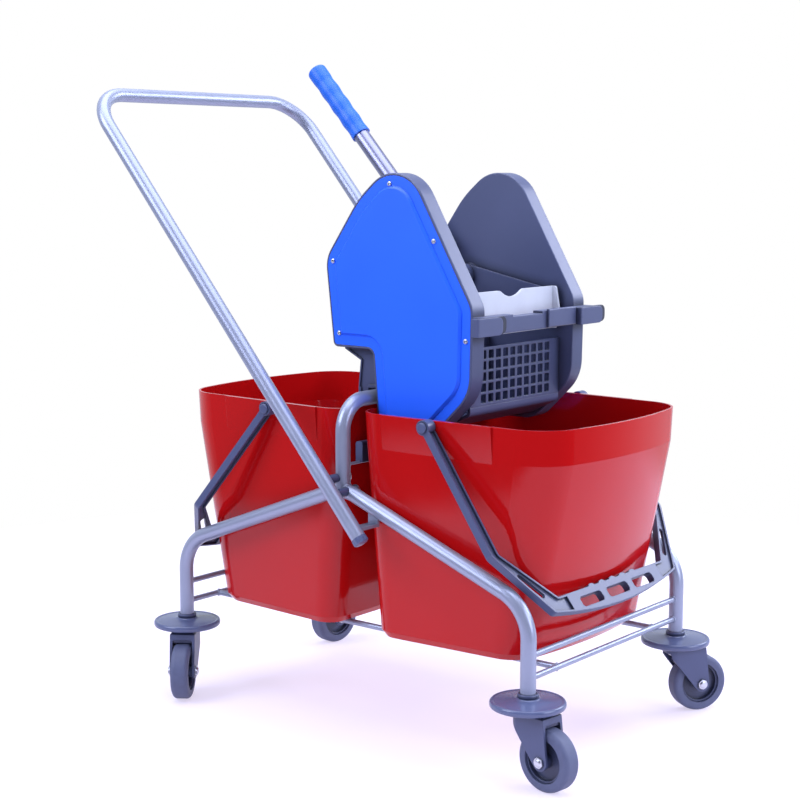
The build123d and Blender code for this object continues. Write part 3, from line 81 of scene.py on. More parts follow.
camera_data = bpy.data.cameras.new("studio_camera")
camera_data.sensor_width = SENSOR_MM
camera_data.lens = LENS_MM
camera_data.clip_end = 50.0
camera = bpy.data.objects.new("studio_camera", camera_data)
bpy.context.scene.collection.objects.link(camera)
camera.location = Vector(CAMERA_PLACE_MM) * MM
camera.rotation_euler = direction(CAMERA_AZIMUTH, CAMERA_ELEVATION).to_track_quat("Z", "Y").to_euler()
camera.rotation_euler.rotate_axis("Z", math.radians(CAMERA_ROLL))
bpy.context.scene.camera = camera
print("camera", [round(v, 3) for v in camera.location], "lens", LENS_MM, "mm")

# %% [markdown]
# ## Colour and nodes
# Every finish below is a small node tree. Two helpers keep the trees readable: one turns a painter's hex value
# into the linear light that a shader works with, and one adds a node with its settings and links. The standard
# view transform keeps the strong reds and blues of moulded plastic as they are.

# %% Helpers for finishes
bpy.context.scene.view_settings.view_transform = "Standard"


def linear(hex_value):
    """An sRGB hex value as linear red, green, blue and full alpha."""
    shares = [int(hex_value[i:i + 2], 16) / 255 for i in (1, 3, 5)]
    light = [c / 12.92 if c <= 0.04045 else ((c + 0.055) / 1.055) ** 2.4 for c in shares]
    return (*light, 1.0)


def per_metre(millimetres):
    """Pattern scale that gives features of this size."""
    return 1.0 / (millimetres * MM)


def add_node(tree, kind, settings, links):
    """One node: settings go to its sockets or properties, links bring other nodes' outputs to its sockets."""
    node = tree.nodes.new(kind)
    for name, value in settings.items():
        if isinstance(name, int) or name in node.inputs:
            node.inputs[name].default_value = value
        else:
            setattr(node, name, value)
    for name, output in links.items():
        tree.links.new(output, node.inputs[name])
    return node


def new_finish(name, settings):
    """A material with one Principled shader, ready for its patterns."""
    material = bpy.data.materials.new(name)
    material.use_nodes = True
    tree = material.node_tree
    tree.nodes.clear()
    shader = add_node(tree, "ShaderNodeBsdfPrincipled", settings, {})
    add_node(tree, "ShaderNodeOutputMaterial", {}, {"Surface": shader.outputs["BSDF"]})
    place = add_node(tree, "ShaderNodeTexCoord", {}, {})
    return material, tree, shader, place.outputs["Object"]


print("a mid grey is", round(linear("#808080")[0], 3), "in linear light")

# %% [markdown]
# ## Gloss red polypropylene
# The buckets are injection moulded in a polished tool. That gives a deep, even red with a wet-looking gloss, and
# walls that are never quite flat: the plastic shrinks as it cools, so reflections bend a little. A wide, very
# shallow bump does that, and a slow drift of colour stands for the flow of the melt.

# %% Red bucket plastic
EDGE_ROUND_MM = 0.9
red_gloss, tree, shader, place = new_finish(
    "gloss_moulded_polypropylene_red", {"IOR": 1.49, "Specular IOR Level": 0.3}
)
melt = add_node(tree, "ShaderNodeTexNoise", {"Scale": per_metre(160), "Detail": 2.0}, {"Vector": place})
colour = add_node(tree, "ShaderNodeValToRGB", {}, {"Fac": melt.outputs["Fac"]})
colour.color_ramp.elements[0].color = linear("#a20a0c")
colour.color_ramp.elements[1].color = linear("#aa0d0f")
tree.links.new(colour.outputs["Color"], shader.inputs["Base Color"])
handling = add_node(tree, "ShaderNodeTexNoise", {"Scale": per_metre(24), "Detail": 5.0}, {"Vector": place})
gloss = add_node(tree, "ShaderNodeMapRange", {"To Min": 0.05, "To Max": 0.12}, {"Value": handling.outputs["Fac"]})
tree.links.new(gloss.outputs["Result"], shader.inputs["Roughness"])
shrink = add_node(tree, "ShaderNodeTexNoise", {"Scale": per_metre(55), "Detail": 1.0}, {"Vector": place})
edge = add_node(tree, "ShaderNodeBevel", {"samples": 4, "Radius": EDGE_ROUND_MM * MM}, {})
bump = add_node(
    tree,
    "ShaderNodeBump",
    {"Strength": 0.25, "Distance": 0.5 * MM},
    {"Height": shrink.outputs["Fac"], "Normal": edge.outputs["Normal"]},
)
tree.links.new(bump.outputs["Normal"], shader.inputs["Normal"])
print("made", red_gloss.name)

# %% [markdown]
# ## Satin blue polypropylene
# The wringer covers come from a tool with a fine spark-eroded face. It spreads the highlight, so the colour
# stays strong from every side. The real grain is about 0.3 mm, too fine to show in the picture, so it is drawn at
# 1.2 mm.

# %% Blue cover plastic
SPARK_GRAIN_MM = 1.2
blue_satin, tree, shader, place = new_finish("spark_grained_polypropylene_blue", {"IOR": 1.49})
melt = add_node(tree, "ShaderNodeTexNoise", {"Scale": per_metre(120), "Detail": 2.0}, {"Vector": place})
colour = add_node(tree, "ShaderNodeValToRGB", {}, {"Fac": melt.outputs["Fac"]})
colour.color_ramp.elements[0].color = linear("#0f55e3")
colour.color_ramp.elements[1].color = linear("#165ded")
tree.links.new(colour.outputs["Color"], shader.inputs["Base Color"])
grain = add_node(tree, "ShaderNodeTexNoise", {"Scale": per_metre(SPARK_GRAIN_MM), "Detail": 2.0}, {"Vector": place})
gloss = add_node(tree, "ShaderNodeMapRange", {"To Min": 0.36, "To Max": 0.48}, {"Value": grain.outputs["Fac"]})
tree.links.new(gloss.outputs["Result"], shader.inputs["Roughness"])
edge = add_node(tree, "ShaderNodeBevel", {"samples": 4, "Radius": EDGE_ROUND_MM * MM}, {})
bump = add_node(
    tree,
    "ShaderNodeBump",
    {"Strength": 0.12, "Distance": 0.08 * MM},
    {"Height": grain.outputs["Fac"], "Normal": edge.outputs["Normal"]},
)
tree.links.new(bump.outputs["Normal"], shader.inputs["Normal"])
print("made", blue_satin.name)

# %% [markdown]
# ## Soft vinyl for the hand
# The grip at the end of the lever is dipped vinyl, pushed on over the tube. It is a lighter, greener blue than the
# covers. Dipping leaves a soft skin without a tool mark, so the highlight runs broad and even over the finger
# waves.

# %% Grip vinyl
vinyl_blue, tree, shader, place = new_finish(
    "dipped_soft_vinyl_blue", {"IOR": 1.53, "Specular IOR Level": 0.36}
)
skin = add_node(tree, "ShaderNodeTexNoise", {"Scale": per_metre(18), "Detail": 3.0}, {"Vector": place})
colour = add_node(tree, "ShaderNodeValToRGB", {}, {"Fac": skin.outputs["Fac"]})
colour.color_ramp.elements[0].color = linear("#0f56c0")
colour.color_ramp.elements[1].color = linear("#165fca")
tree.links.new(colour.outputs["Color"], shader.inputs["Base Color"])
gloss = add_node(tree, "ShaderNodeMapRange", {"To Min": 0.38, "To Max": 0.46}, {"Value": skin.outputs["Fac"]})
tree.links.new(gloss.outputs["Result"], shader.inputs["Roughness"])
print("made", vinyl_blue.name)

# %% [markdown]
# ## Slate grey polypropylene
# Housings, bails, forks and the rail share one grey with a touch of blue. The tool face is matt, and the pigment
# never mixes quite evenly, so the grey drifts a little over a hand's width. Slots and corners get painted shade:
# the colour is darkened where walls stand closer than a finger's width. The edges are rounder than on the
# covers, and each draws a thin light line.

# %% Grey structural plastic
CREVICE_MM = 16.0
GREY_EDGE_ROUND_MM = 1.6
grey_matt, tree, shader, place = new_finish("matt_moulded_polypropylene_slate", {"IOR": 1.49})
pigment = add_node(tree, "ShaderNodeTexNoise", {"Scale": per_metre(70), "Detail": 3.0}, {"Vector": place})
colour = add_node(tree, "ShaderNodeValToRGB", {}, {"Fac": pigment.outputs["Fac"]})
colour.color_ramp.elements[0].color = linear("#3e4564")
colour.color_ramp.elements[1].color = linear("#464d6e")
# Painted shade: occlusion darkens the base colour in slots and corners, where walls stand close.
crevice = add_node(tree, "ShaderNodeAmbientOcclusion", {"samples": 4, "Distance": CREVICE_MM * MM}, {})
painted_shade = add_node(
    tree,
    "ShaderNodeMapRange",
    {"From Min": 0.5, "From Max": 0.92, "To Min": 0.25, "To Max": 1.0},
    {"Value": crevice.outputs["AO"]},
)
shade_darkened_grey = add_node(
    tree,
    "ShaderNodeVectorMath",
    {"operation": "SCALE"},
    {0: colour.outputs["Color"], "Scale": painted_shade.outputs["Result"]},
)
tree.links.new(shade_darkened_grey.outputs["Vector"], shader.inputs["Base Color"])
grain = add_node(tree, "ShaderNodeTexNoise", {"Scale": per_metre(SPARK_GRAIN_MM), "Detail": 3.0}, {"Vector": place})
gloss = add_node(tree, "ShaderNodeMapRange", {"To Min": 0.34, "To Max": 0.46}, {"Value": grain.outputs["Fac"]})
tree.links.new(gloss.outputs["Result"], shader.inputs["Roughness"])
edge = add_node(tree, "ShaderNodeBevel", {"samples": 4, "Radius": GREY_EDGE_ROUND_MM * MM}, {})
bump = add_node(
    tree,
    "ShaderNodeBump",
    {"Strength": 0.2, "Distance": 0.08 * MM},
    {"Height": grain.outputs["Fac"], "Normal": edge.outputs["Normal"]},
)
tree.links.new(bump.outputs["Normal"], shader.inputs["Normal"])
print("made", grey_matt.name)

# %% [markdown]
# ## Polished grey for the bumper discs
# The discs over the castors are the same grey from a polished tool. They lie nearly flat to the eye, and at such a
# low angle even a dull plastic mirrors the backdrop, so the gloss matters more here than the colour.

# %% Bumper plastic
grey_gloss, tree, shader, place = new_finish("polished_moulded_polypropylene_slate", {"IOR": 1.49})
pigment = add_node(tree, "ShaderNodeTexNoise", {"Scale": per_metre(40), "Detail": 3.0}, {"Vector": place})
colour = add_node(tree, "ShaderNodeValToRGB", {}, {"Fac": pigment.outputs["Fac"]})
colour.color_ramp.elements[0].color = linear("#4a5170")
colour.color_ramp.elements[1].color = linear("#525a7a")
tree.links.new(colour.outputs["Color"], shader.inputs["Base Color"])
scuff = add_node(tree, "ShaderNodeTexNoise", {"Scale": per_metre(14), "Detail": 5.0}, {"Vector": place})
gloss = add_node(tree, "ShaderNodeMapRange", {"To Min": 0.16, "To Max": 0.28}, {"Value": scuff.outputs["Fac"]})
tree.links.new(gloss.outputs["Result"], shader.inputs["Roughness"])
print("made", grey_gloss.name)

# %% [markdown]
# ## Grey rubber tyres
# The tyres are thermoplastic rubber in nearly the same grey, but softer to the eye: light sinks in, and the
# tread picks up a pale film of floor dust.

# %% Tyre rubber
rubber_grey, tree, shader, place = new_finish("thermoplastic_rubber_grey", {"IOR": 1.52})
dust = add_node(tree, "ShaderNodeTexNoise", {"Scale": per_metre(9), "Detail": 6.0}, {"Vector": place})
colour = add_node(tree, "ShaderNodeValToRGB", {}, {"Fac": dust.outputs["Fac"]})
colour.color_ramp.elements[0].color = linear("#404661")
colour.color_ramp.elements[1].color = linear("#515774")
tree.links.new(colour.outputs["Color"], shader.inputs["Base Color"])
gloss = add_node(tree, "ShaderNodeMapRange", {"To Min": 0.5, "To Max": 0.72}, {"Value": dust.outputs["Fac"]})
tree.links.new(gloss.outputs["Result"], shader.inputs["Roughness"])
edge = add_node(tree, "ShaderNodeBevel", {"samples": 4, "Radius": EDGE_ROUND_MM * MM}, {})
bump = add_node(
    tree,
    "ShaderNodeBump",
    {"Strength": 0.3, "Distance": 0.1 * MM},
    {"Height": dust.outputs["Fac"], "Normal": edge.outputs["Normal"]},
)
tree.links.new(bump.outputs["Normal"], shader.inputs["Normal"])
print("made", rubber_grey.name)

# %% [markdown]
# ## Silver baked paint on steel tube
# The frame is bent steel tube, sprayed with an aluminium-flake paint and baked. The flakes lie almost flat in a
# clear binder, so the tube has a broad soft highlight like dull metal. Single flakes are about 0.1 mm and melt
# together in the picture: what stays is a slow cloudiness where the spray lay thicker, some 45 mm from crest to
# crest, and the orange peel of the baked film.

# %% Silver frame paint
SPRAY_CLOUD_MM = 45.0
ORANGE_PEEL_MM = 5.0
silver_paint, tree, shader, place = new_finish("baked_aluminium_flake_paint", {"Metallic": 0.5})
cloud = add_node(tree, "ShaderNodeTexNoise", {"Scale": per_metre(SPRAY_CLOUD_MM), "Detail": 2.0}, {"Vector": place})
colour = add_node(tree, "ShaderNodeValToRGB", {}, {"Fac": cloud.outputs["Fac"]})
colour.color_ramp.elements[0].color = linear("#8a90a5")
colour.color_ramp.elements[1].color = linear("#949aaf")
tree.links.new(colour.outputs["Color"], shader.inputs["Base Color"])
gloss = add_node(tree, "ShaderNodeMapRange", {"To Min": 0.33, "To Max": 0.38}, {"Value": cloud.outputs["Fac"]})
tree.links.new(gloss.outputs["Result"], shader.inputs["Roughness"])
orange_peel = add_node(tree, "ShaderNodeTexNoise", {"Scale": per_metre(ORANGE_PEEL_MM)}, {"Vector": place})
bump = add_node(
    tree,
    "ShaderNodeBump",
    {"Strength": 0.1, "Distance": 0.02 * MM},
    {"Height": orange_peel.outputs["Fac"]},
)
tree.links.new(bump.outputs["Normal"], shader.inputs["Normal"])
print("made", silver_paint.name)

# %% [markdown]
# ## Zinc plate
# Bolts, pins and shafts are zinc plated in a barrel. The plating is a bright metal with a slightly cloudy skin, so
# the reflections are clear but soft. A cloud of about 22 mm drifts in colour and in roughness together.

# %% Zinc plate
ZINC_CLOUD_MM = 22.0
zinc_plate, tree, shader, place = new_finish("zinc_plated_steel", {"Metallic": 1.0})
cloud = add_node(tree, "ShaderNodeTexNoise", {"Scale": per_metre(ZINC_CLOUD_MM), "Detail": 2.0}, {"Vector": place})
colour = add_node(tree, "ShaderNodeValToRGB", {}, {"Fac": cloud.outputs["Fac"]})
colour.color_ramp.elements[0].color = linear("#b4b8c2")
colour.color_ramp.elements[1].color = linear("#d3d6dd")
tree.links.new(colour.outputs["Color"], shader.inputs["Base Color"])
gloss = add_node(tree, "ShaderNodeMapRange", {"To Min": 0.26, "To Max": 0.34}, {"Value": cloud.outputs["Fac"]})
tree.links.new(gloss.outputs["Result"], shader.inputs["Roughness"])
print("made", zinc_plate.name)

# %% [markdown]
# ## Bright-plated tube
# The lever is drawn tube, polished on a belt and bright plated. The belt leaves it smooth but not quite a mirror, so
# a bright side and a dark side meet in a soft line along the tube. Being a metal, it keeps the default IOR.

# %% Bright plated tube
POLISH_CLOUD_MM = 30.0
bright_plate, tree, shader, place = new_finish("bright_plated_polished_tube", {"Metallic": 1.0})
haze = add_node(tree, "ShaderNodeTexNoise", {"Scale": per_metre(POLISH_CLOUD_MM), "Detail": 2.0}, {"Vector": place})
colour = add_node(tree, "ShaderNodeValToRGB", {}, {"Fac": haze.outputs["Fac"]})
colour.color_ramp.elements[0].color = linear("#83849f")
colour.color_ramp.elements[1].color = linear("#8d8ea9")
tree.links.new(colour.outputs["Color"], shader.inputs["Base Color"])
gloss = add_node(tree, "ShaderNodeMapRange", {"To Min": 0.33, "To Max": 0.38}, {"Value": haze.outputs["Fac"]})
tree.links.new(gloss.outputs["Result"], shader.inputs["Roughness"])
print("made", bright_plate.name)

# %% [markdown]
# ## White acetal
# The press jaw, the gears and the bushes are acetal, a slippery engineering plastic that is cut to size. Cutting
# leaves an even face with a soft gloss, so the white looks clean and cool, and each edge catches a thin light line.

# %% White jaw and gear plastic
white_acetal, tree, shader, place = new_finish("machined_acetal_white", {"IOR": 1.48})
skin = add_node(tree, "ShaderNodeTexNoise", {"Scale": per_metre(30), "Detail": 3.0}, {"Vector": place})
colour = add_node(tree, "ShaderNodeValToRGB", {}, {"Fac": skin.outputs["Fac"]})
colour.color_ramp.elements[0].color = linear("#b8bcc9")
colour.color_ramp.elements[1].color = linear("#c4c8d3")
tree.links.new(colour.outputs["Color"], shader.inputs["Base Color"])
gloss = add_node(tree, "ShaderNodeMapRange", {"To Min": 0.28, "To Max": 0.4}, {"Value": skin.outputs["Fac"]})
tree.links.new(gloss.outputs["Result"], shader.inputs["Roughness"])
edge = add_node(tree, "ShaderNodeBevel", {"samples": 4, "Radius": EDGE_ROUND_MM * MM}, {})
tree.links.new(edge.outputs["Normal"], shader.inputs["Normal"])
print("made", white_acetal.name)

# %% [markdown]
# ## Dress the solids
# The record names a finish slot for every solid, so one table from slot to material dresses them all. The grip
# shares the blue slot with the covers, so it gets its softer vinyl afterwards.

# %% Give every solid its finish
FINISH_OF_SLOT = {
    "silver_paint": silver_paint,
    "zinc_steel": zinc_plate,
    "bright_tube": bright_plate,
    "grey_plastic": grey_matt,
    "grey_tyre": rubber_grey,
    "red_plastic": red_gloss,
    "blue_plastic": blue_satin,
    "white_plastic": white_acetal,
}
for row in frame["record"]["subparts"]:
    mesh = nodes[row["node"]].data
    mesh.materials.clear()
    mesh.materials.append(FINISH_OF_SLOT[row["material_slot"]])
nodes["lever_grip"].data.materials[0] = vinyl_blue

# %% [markdown]
# ## Weld beads
# The thin rods are welded to the legs, the rails to the rods and the hoop to the side frames, and then all of it
# is painted. A bead could be a plain ring, but a real one follows the line where the two round bars meet and has
# ripples where the torch paused. So each bead is a thin tube, swept along that line, whose thickness pulses.

# %% Where the bars meet
LEG_X_MM = 300.0
LEG_Y_MM = 183.0
TUBE_R_MM = 10.0
ROD_R_MM = 4.0
RAIL_Y_MM = 118.0
ROD_HEIGHTS_MM = (134.0, 162.5)
APEX_MM = 333.74
APEX_BEND_MM = 60.0


def rod_on_leg(turn, x, side, z):
    """Where a thin rod along Y meets the round leg."""
    dx = ROD_R_MM * math.cos(turn)
    dz = ROD_R_MM * math.sin(turn)
    return Vector((x + dx, side * (LEG_Y_MM - math.sqrt(TUBE_R_MM**2 - dx**2)), z + dz))


def rail_on_rod(turn, end, y, z):
    """Where a base rail along X meets a rod of its own size."""
    dz = ROD_R_MM * math.sin(turn)
    reach = math.sqrt(ROD_R_MM**2 - dz**2)
    return Vector((end * (LEG_X_MM - reach), y + ROD_R_MM * math.cos(turn), z + dz))


def hoop_on_frame(turn, side):
    """Where the upright hoop tube stands on the bent top of a side frame."""
    dx = TUBE_R_MM * math.cos(turn)
    dy = TUBE_R_MM * math.sin(turn)
    drop = dx**2 / (2 * APEX_BEND_MM)
    return Vector((dx, side * LEG_Y_MM + dy, APEX_MM - drop + math.sqrt(TUBE_R_MM**2 - dy**2)))


print("hoop meets the frame at", [round(v, 1) for v in hoop_on_frame(0.0, 1)], "mm")

# %% A bead along a meeting line
BEAD_R_MM = 1.5
BEAD_STEPS = 72
BEAD_SIDES = 8
RIPPLE_MM = 2.2
RIPPLE_SHARE = 0.18
LEAST_RIPPLES = 6


def add_bead(mesh, line, *where):
    """Sweep one closed bead along a meeting line, in millimetres."""
    points = [line(2 * math.pi * (i + 0.5) / BEAD_STEPS, *where) for i in range(BEAD_STEPS)]
    centre = sum(points, Vector()) / BEAD_STEPS
    length = sum((points[i] - points[i - 1]).length for i in range(BEAD_STEPS))
    ripples = max(LEAST_RIPPLES, round(length / RIPPLE_MM))
    rings = []
    for i, point in enumerate(points):
        along = (points[(i + 1) % BEAD_STEPS] - points[i - 1]).normalized()
        out = point - centre
        out = (out - along * out.dot(along)).normalized()
        up = along.cross(out)
        thick = BEAD_R_MM * (1.0 + RIPPLE_SHARE * math.sin(2 * math.pi * ripples * i / BEAD_STEPS))
        ring = []
        for k in range(BEAD_SIDES):
            a = 2 * math.pi * k / BEAD_SIDES
            ring.append(mesh.verts.new((point + (out * math.cos(a) + up * math.sin(a)) * thick) * MM))
        rings.append(ring)
    for i in range(BEAD_STEPS):
        for k in range(BEAD_SIDES):
            last = (k + 1) % BEAD_SIDES
            mesh.faces.new((rings[i - 1][k], rings[i][k], rings[i][last], rings[i - 1][last]))


print("bead", 2 * BEAD_R_MM, "mm thick, a ripple every", RIPPLE_MM, "mm")


# %% Sweep the beads
def add_piece(name, mesh, material, body):
    """Turn a bmesh into a smooth-shaded piece that rides on a body."""
    bmesh.ops.recalc_face_normals(mesh, faces=mesh.faces)
    data = bpy.data.meshes.new(name)
    mesh.to_mesh(data)
    mesh.free()
    data.materials.append(material)
    data.shade_smooth()
    piece = bpy.data.objects.new(name, data)
    bpy.context.scene.collection.objects.link(piece)
    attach(piece, body)
    print(name, len(data.vertices), "points")
    return piece


beads = bmesh.new()
for side in (-1, 1):
    add_bead(beads, hoop_on_frame, side)
    for end in (-1, 1):
        add_bead(beads, rail_on_rod, end, side * RAIL_Y_MM, ROD_HEIGHTS_MM[0])
        for height in ROD_HEIGHTS_MM:
            add_bead(beads, rod_on_leg, end * LEG_X_MM, side, height)
add_piece("weld_beads", beads, silver_paint, "frame")

# %% [markdown]
# ## Cross-recess screws
# Each blue cover is held by six small pan-head screws. A plain dome would pass from far away, but the cross in
# the head is what makes it read as a screw. A cross could be cut with a boolean; here the head is a fine round
# grid whose middle is pushed down inside the cross, which keeps the mesh clean.

# %% Shape of a screw head
HEAD_R_MM = 3.5
HEAD_H_MM = 2.2
DOME_POWER = 5
CROSS_ARM_MM = 2.1
CROSS_HALF_W_MM = 0.5
CROSS_DEPTH_MM = 1.4
CROSS_SIDE_SLOPE_MM = 0.2
CROSS_END_SLOPE_MM = 0.6


def head_height(x, z):
    """Height of the head's face over its seat at a place on it, in millimetres."""
    share = min(1.0, math.hypot(x, z) / HEAD_R_MM)
    dome = HEAD_H_MM * math.sqrt(max(0.0, 1.0 - share**DOME_POWER))
    near = min(abs(x), abs(z))
    far = max(abs(x), abs(z))
    side_wall = min(1.0, max(0.0, (CROSS_HALF_W_MM - near) / CROSS_SIDE_SLOPE_MM + 0.5))
    end_wall = min(1.0, max(0.0, (CROSS_ARM_MM - far) / CROSS_END_SLOPE_MM))
    return dome - CROSS_DEPTH_MM * side_wall * end_wall


print("the cross is", round(head_height(HEAD_R_MM / 2, HEAD_R_MM / 2) - head_height(0, 0), 2), "mm deep")


# %% Find the screws
def screw_seats(node):
    """Middle of each screw of a CAD node: X, Z, the side it faces and where its head ends."""
    solid = bmesh.new()
    solid.from_mesh(node.data)
    left = set(solid.verts)
    seats = []
    while left:
        patch = [left.pop()]
        island = []
        while patch:
            vert = patch.pop()
            island.append(vert.co.copy())
            for link in vert.link_edges:
                other = link.other_vert(vert)
                if other in left:
                    left.remove(other)
                    patch.append(other)
        xs = [co.x for co in island]
        zs = [co.z for co in island]
        tip = max((co.y for co in island), key=abs)
        seats.append(((min(xs) + max(xs)) / 2, (min(zs) + max(zs)) / 2, math.copysign(1, tip), tip))
    solid.free()
    return sorted(seats)


seats = screw_seats(nodes["cover_screws"])
print("cover screws:", len(seats))

# %% Press the screw heads
HEAD_RINGS = 18
HEAD_SEGMENTS = 56
SCREW_TURN = 0.7


def add_screw_head(mesh, x, z, side, tip, spin):
    """One pan head with a cross recess, its cross turned by an angle."""
    seat_y = tip - side * HEAD_H_MM * MM
    rings = []
    for i in range(HEAD_RINGS + 1):
        radius = HEAD_R_MM * i / HEAD_RINGS
        ring = []
        for k in range(HEAD_SEGMENTS if i else 1):
            a = 2 * math.pi * k / HEAD_SEGMENTS
            px, pz = radius * math.cos(a), radius * math.sin(a)
            h = head_height(px, pz)
            rx = px * math.cos(spin) - pz * math.sin(spin)
            rz = px * math.sin(spin) + pz * math.cos(spin)
            ring.append(mesh.verts.new((x + rx * MM, seat_y + side * h * MM, z + rz * MM)))
        rings.append(ring)
    for k in range(HEAD_SEGMENTS):
        nxt = (k + 1) % HEAD_SEGMENTS
        mesh.faces.new((rings[0][0], rings[1][k], rings[1][nxt]))
        for i in range(2, HEAD_RINGS + 1):
            mesh.faces.new((rings[i - 1][k], rings[i][k], rings[i][nxt], rings[i - 1][nxt]))
    mesh.faces.new(rings[-1])


heads = bmesh.new()
for count, seat in enumerate(seats):
    add_screw_head(heads, *seat, spin=SCREW_TURN * count)
screw_heads = add_piece("cover_screw_heads", heads, zinc_plate, "wringer_body")
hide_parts("cover_screws")

# %% [markdown]
# ## Turned pieces
# Discs, collars, nuts and caps all have one profile, turned round an axis. The spin tool could do it, but a
# small function that lays ring after ring is as short, and it also lets the radius change round the ring: that
# is how a hexagon or a row of ribs gets in.

# %% A helper that turns profiles
TURN_STEPS = 72


def add_turned(mesh, origin, axis, profile, swell=None):
    """Turn (radius, height) pairs in millimetres round an axis; swell(angle, height) scales the radius."""
    axis = Vector(axis).normalized()
    side = axis.orthogonal().normalized()
    across = axis.cross(side)
    rings = []
    for radius, height in profile:
        ring = []
        for k in range(TURN_STEPS):
            a = 2 * math.pi * k / TURN_STEPS
            r = radius * (swell(a, height) if swell else 1.0)
            spot = Vector(origin) + (side * math.cos(a) + across * math.sin(a)) * (r * MM) + axis * (height * MM)
            ring.append(mesh.verts.new(spot))
        rings.append(ring)
    for lower, upper in zip(rings, rings[1:]):
        for k in range(TURN_STEPS):
            mesh.faces.new((lower[k - 1], lower[k], upper[k], upper[k - 1]))
    return rings


def close_ends(mesh, rings):
    """Cap the first and the last ring of a turned piece."""
    mesh.faces.new(rings[0])
    mesh.faces.new(rings[-1])


def join_ends(mesh, rings):
    """Join the last ring of a turned piece to the first, for a piece with a bore."""
    for k in range(TURN_STEPS):
        mesh.faces.new((rings[-1][k - 1], rings[-1][k], rings[0][k], rings[0][k - 1]))


def middle(node):
    """Middle of a solid's box."""
    low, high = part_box(node)
    return (Vector(low) + Vector(high)) / 2


def foot(node):
    """Middle of the underside of a solid's box."""
    spot = middle(node)
    spot.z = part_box(node)[0][2]
    return spot


CORNERS = ("front_right", "front_left", "rear_right", "rear_left")
print("castors:", [[round(v, 3) for v in foot(corner + "_bumper")] for corner in CORNERS])

# %% [markdown]
# ## Bumper discs and leg collars
# Each leg ends in a disc that keeps the castor off the wall. Its rim is a soft roll with a shallow groove inside
# it, which draws a bright ring round the disc. A dark collar closes the joint between disc and tube. Both are
# turned here, and the disc, which is finer than the solid, takes its place.

# %% Turn the discs and collars
DISC_PROFILE_MM = [
    (10.1, 0.0), (40.0, 0.0), (45.2, 0.1), (46.9, 0.9), (47.8, 2.4), (48.0, 4.2), (47.9, 6.0), (47.3, 7.6),
    (46.2, 8.6), (45.0, 8.9), (43.9, 8.7), (43.1, 8.3), (42.2, 8.2), (41.0, 8.4), (36.0, 8.9), (26.0, 9.9),
    (19.0, 10.6), (16.2, 11.0), (14.9, 11.6), (14.3, 12.4), (10.1, 12.4),
]
COLLAR_PROFILE_MM = [
    (10.1, 12.4), (13.0, 12.4), (13.3, 12.7), (13.3, 16.0), (13.1, 17.0), (12.4, 17.8), (11.5, 18.0), (10.1, 18.0),
]
discs = bmesh.new()
collars = bmesh.new()
for corner in CORNERS:
    seat = foot(corner + "_bumper")
    join_ends(discs, add_turned(discs, seat, (0, 0, 1), DISC_PROFILE_MM))
    join_ends(collars, add_turned(collars, seat, (0, 0, 1), COLLAR_PROFILE_MM))
bumper_discs = add_piece("bumper_discs", discs, grey_gloss, "frame")
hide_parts(*[corner + "_bumper" for corner in CORNERS])
add_piece("leg_collars", collars, grey_matt, "frame")

# %% [markdown]
# ## Guards over the wheels
# Inside each fork a curved web follows the tyre and stiffens the two cheeks. It keeps threads out and closes the
# view through the fork. It could be cut from a ring; here it is one arc section, drawn straight across.

# %% A helper for the castors
UP = Vector((0, 0, 1))


def wheel_axes(corner):
    """Middle of a wheel, the way its fork trails and the way its axle lies."""
    axle = middle(corner + "_tyre")
    ahead = axle - middle(corner + "_bumper")
    ahead.z = 0.0
    ahead.normalize()
    return axle, ahead, UP.cross(ahead)


print("front right castor trails towards", [round(v, 2) for v in wheel_axes("front_right")[1]])

# %% Arch the wheel guards
GUARD_GAP_MM = 2.0
GUARD_T_MM = 3.6
GUARD_FROM = math.radians(-50)
GUARD_TO = math.radians(5)
GUARD_STEPS = 28
FORK_INSIDE_MM = 28.0
SHARP_ANGLE = math.radians(40)


def add_guard(mesh, axle, ahead, across, inner, half_w):
    """An arc of web over a wheel, from the back of the fork to just before its front."""
    bars = []
    for i in range(GUARD_STEPS + 1):
        a = GUARD_FROM + (GUARD_TO - GUARD_FROM) * i / GUARD_STEPS
        ray = ahead * math.sin(a) + UP * math.cos(a)
        near = axle + ray * inner
        far = axle + ray * (inner + GUARD_T_MM * MM)
        edges = ((near, -half_w), (near, half_w), (far, half_w), (far, -half_w))
        bars.append([mesh.verts.new(spot + across * w) for spot, w in edges])
    for one, two in zip(bars, bars[1:]):
        for k in range(len(one)):
            mesh.faces.new((one[k - 1], one[k], two[k], two[k - 1]))
    mesh.faces.new(bars[0])
    mesh.faces.new(bars[-1])


for corner in CORNERS:
    low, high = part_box(corner + "_tyre")
    reach = (high[2] - low[2]) / 2 + GUARD_GAP_MM * MM
    guard = bmesh.new()
    add_guard(guard, *wheel_axes(corner), reach, FORK_INSIDE_MM / 2 * MM)
    piece = add_piece(corner + "_wheel_guard", guard, grey_matt, corner + "_swivel_body")
    piece.data.set_sharp_from_angle(angle=SHARP_ANGLE)

# %% [markdown]
# ## Cap nuts on the axles
# A plated bolt carries each wheel, with a low cap nut at both ends. The six flats are what catches the light, so
# the turned profile is swollen to a hexagon at its foot and runs out to a dome.

# %% Turn the cap nuts
FORK_OUTSIDE_MM = 36.0
AXLE_R_MM = 4.0
HEX_TOP_MM = 2.4
HEX_STEP = math.pi / 3
NUT_PROFILE_MM = [
    (6.9, 0.0), (7.2, 0.3), (7.2, 2.2), (6.6, 2.6), (5.2, 2.7),
    (5.0, 3.0), (4.4, 3.7), (3.2, 4.2), (1.6, 4.45), (0.4, 4.5),
]


def hexagon(angle, height):
    """Radius of a hexagon against its corners, below the dome; round above it."""
    if height > HEX_TOP_MM:
        return 1.0
    from_flat = (angle % HEX_STEP) - HEX_STEP / 2
    return math.cos(HEX_STEP / 2) / math.cos(from_flat)


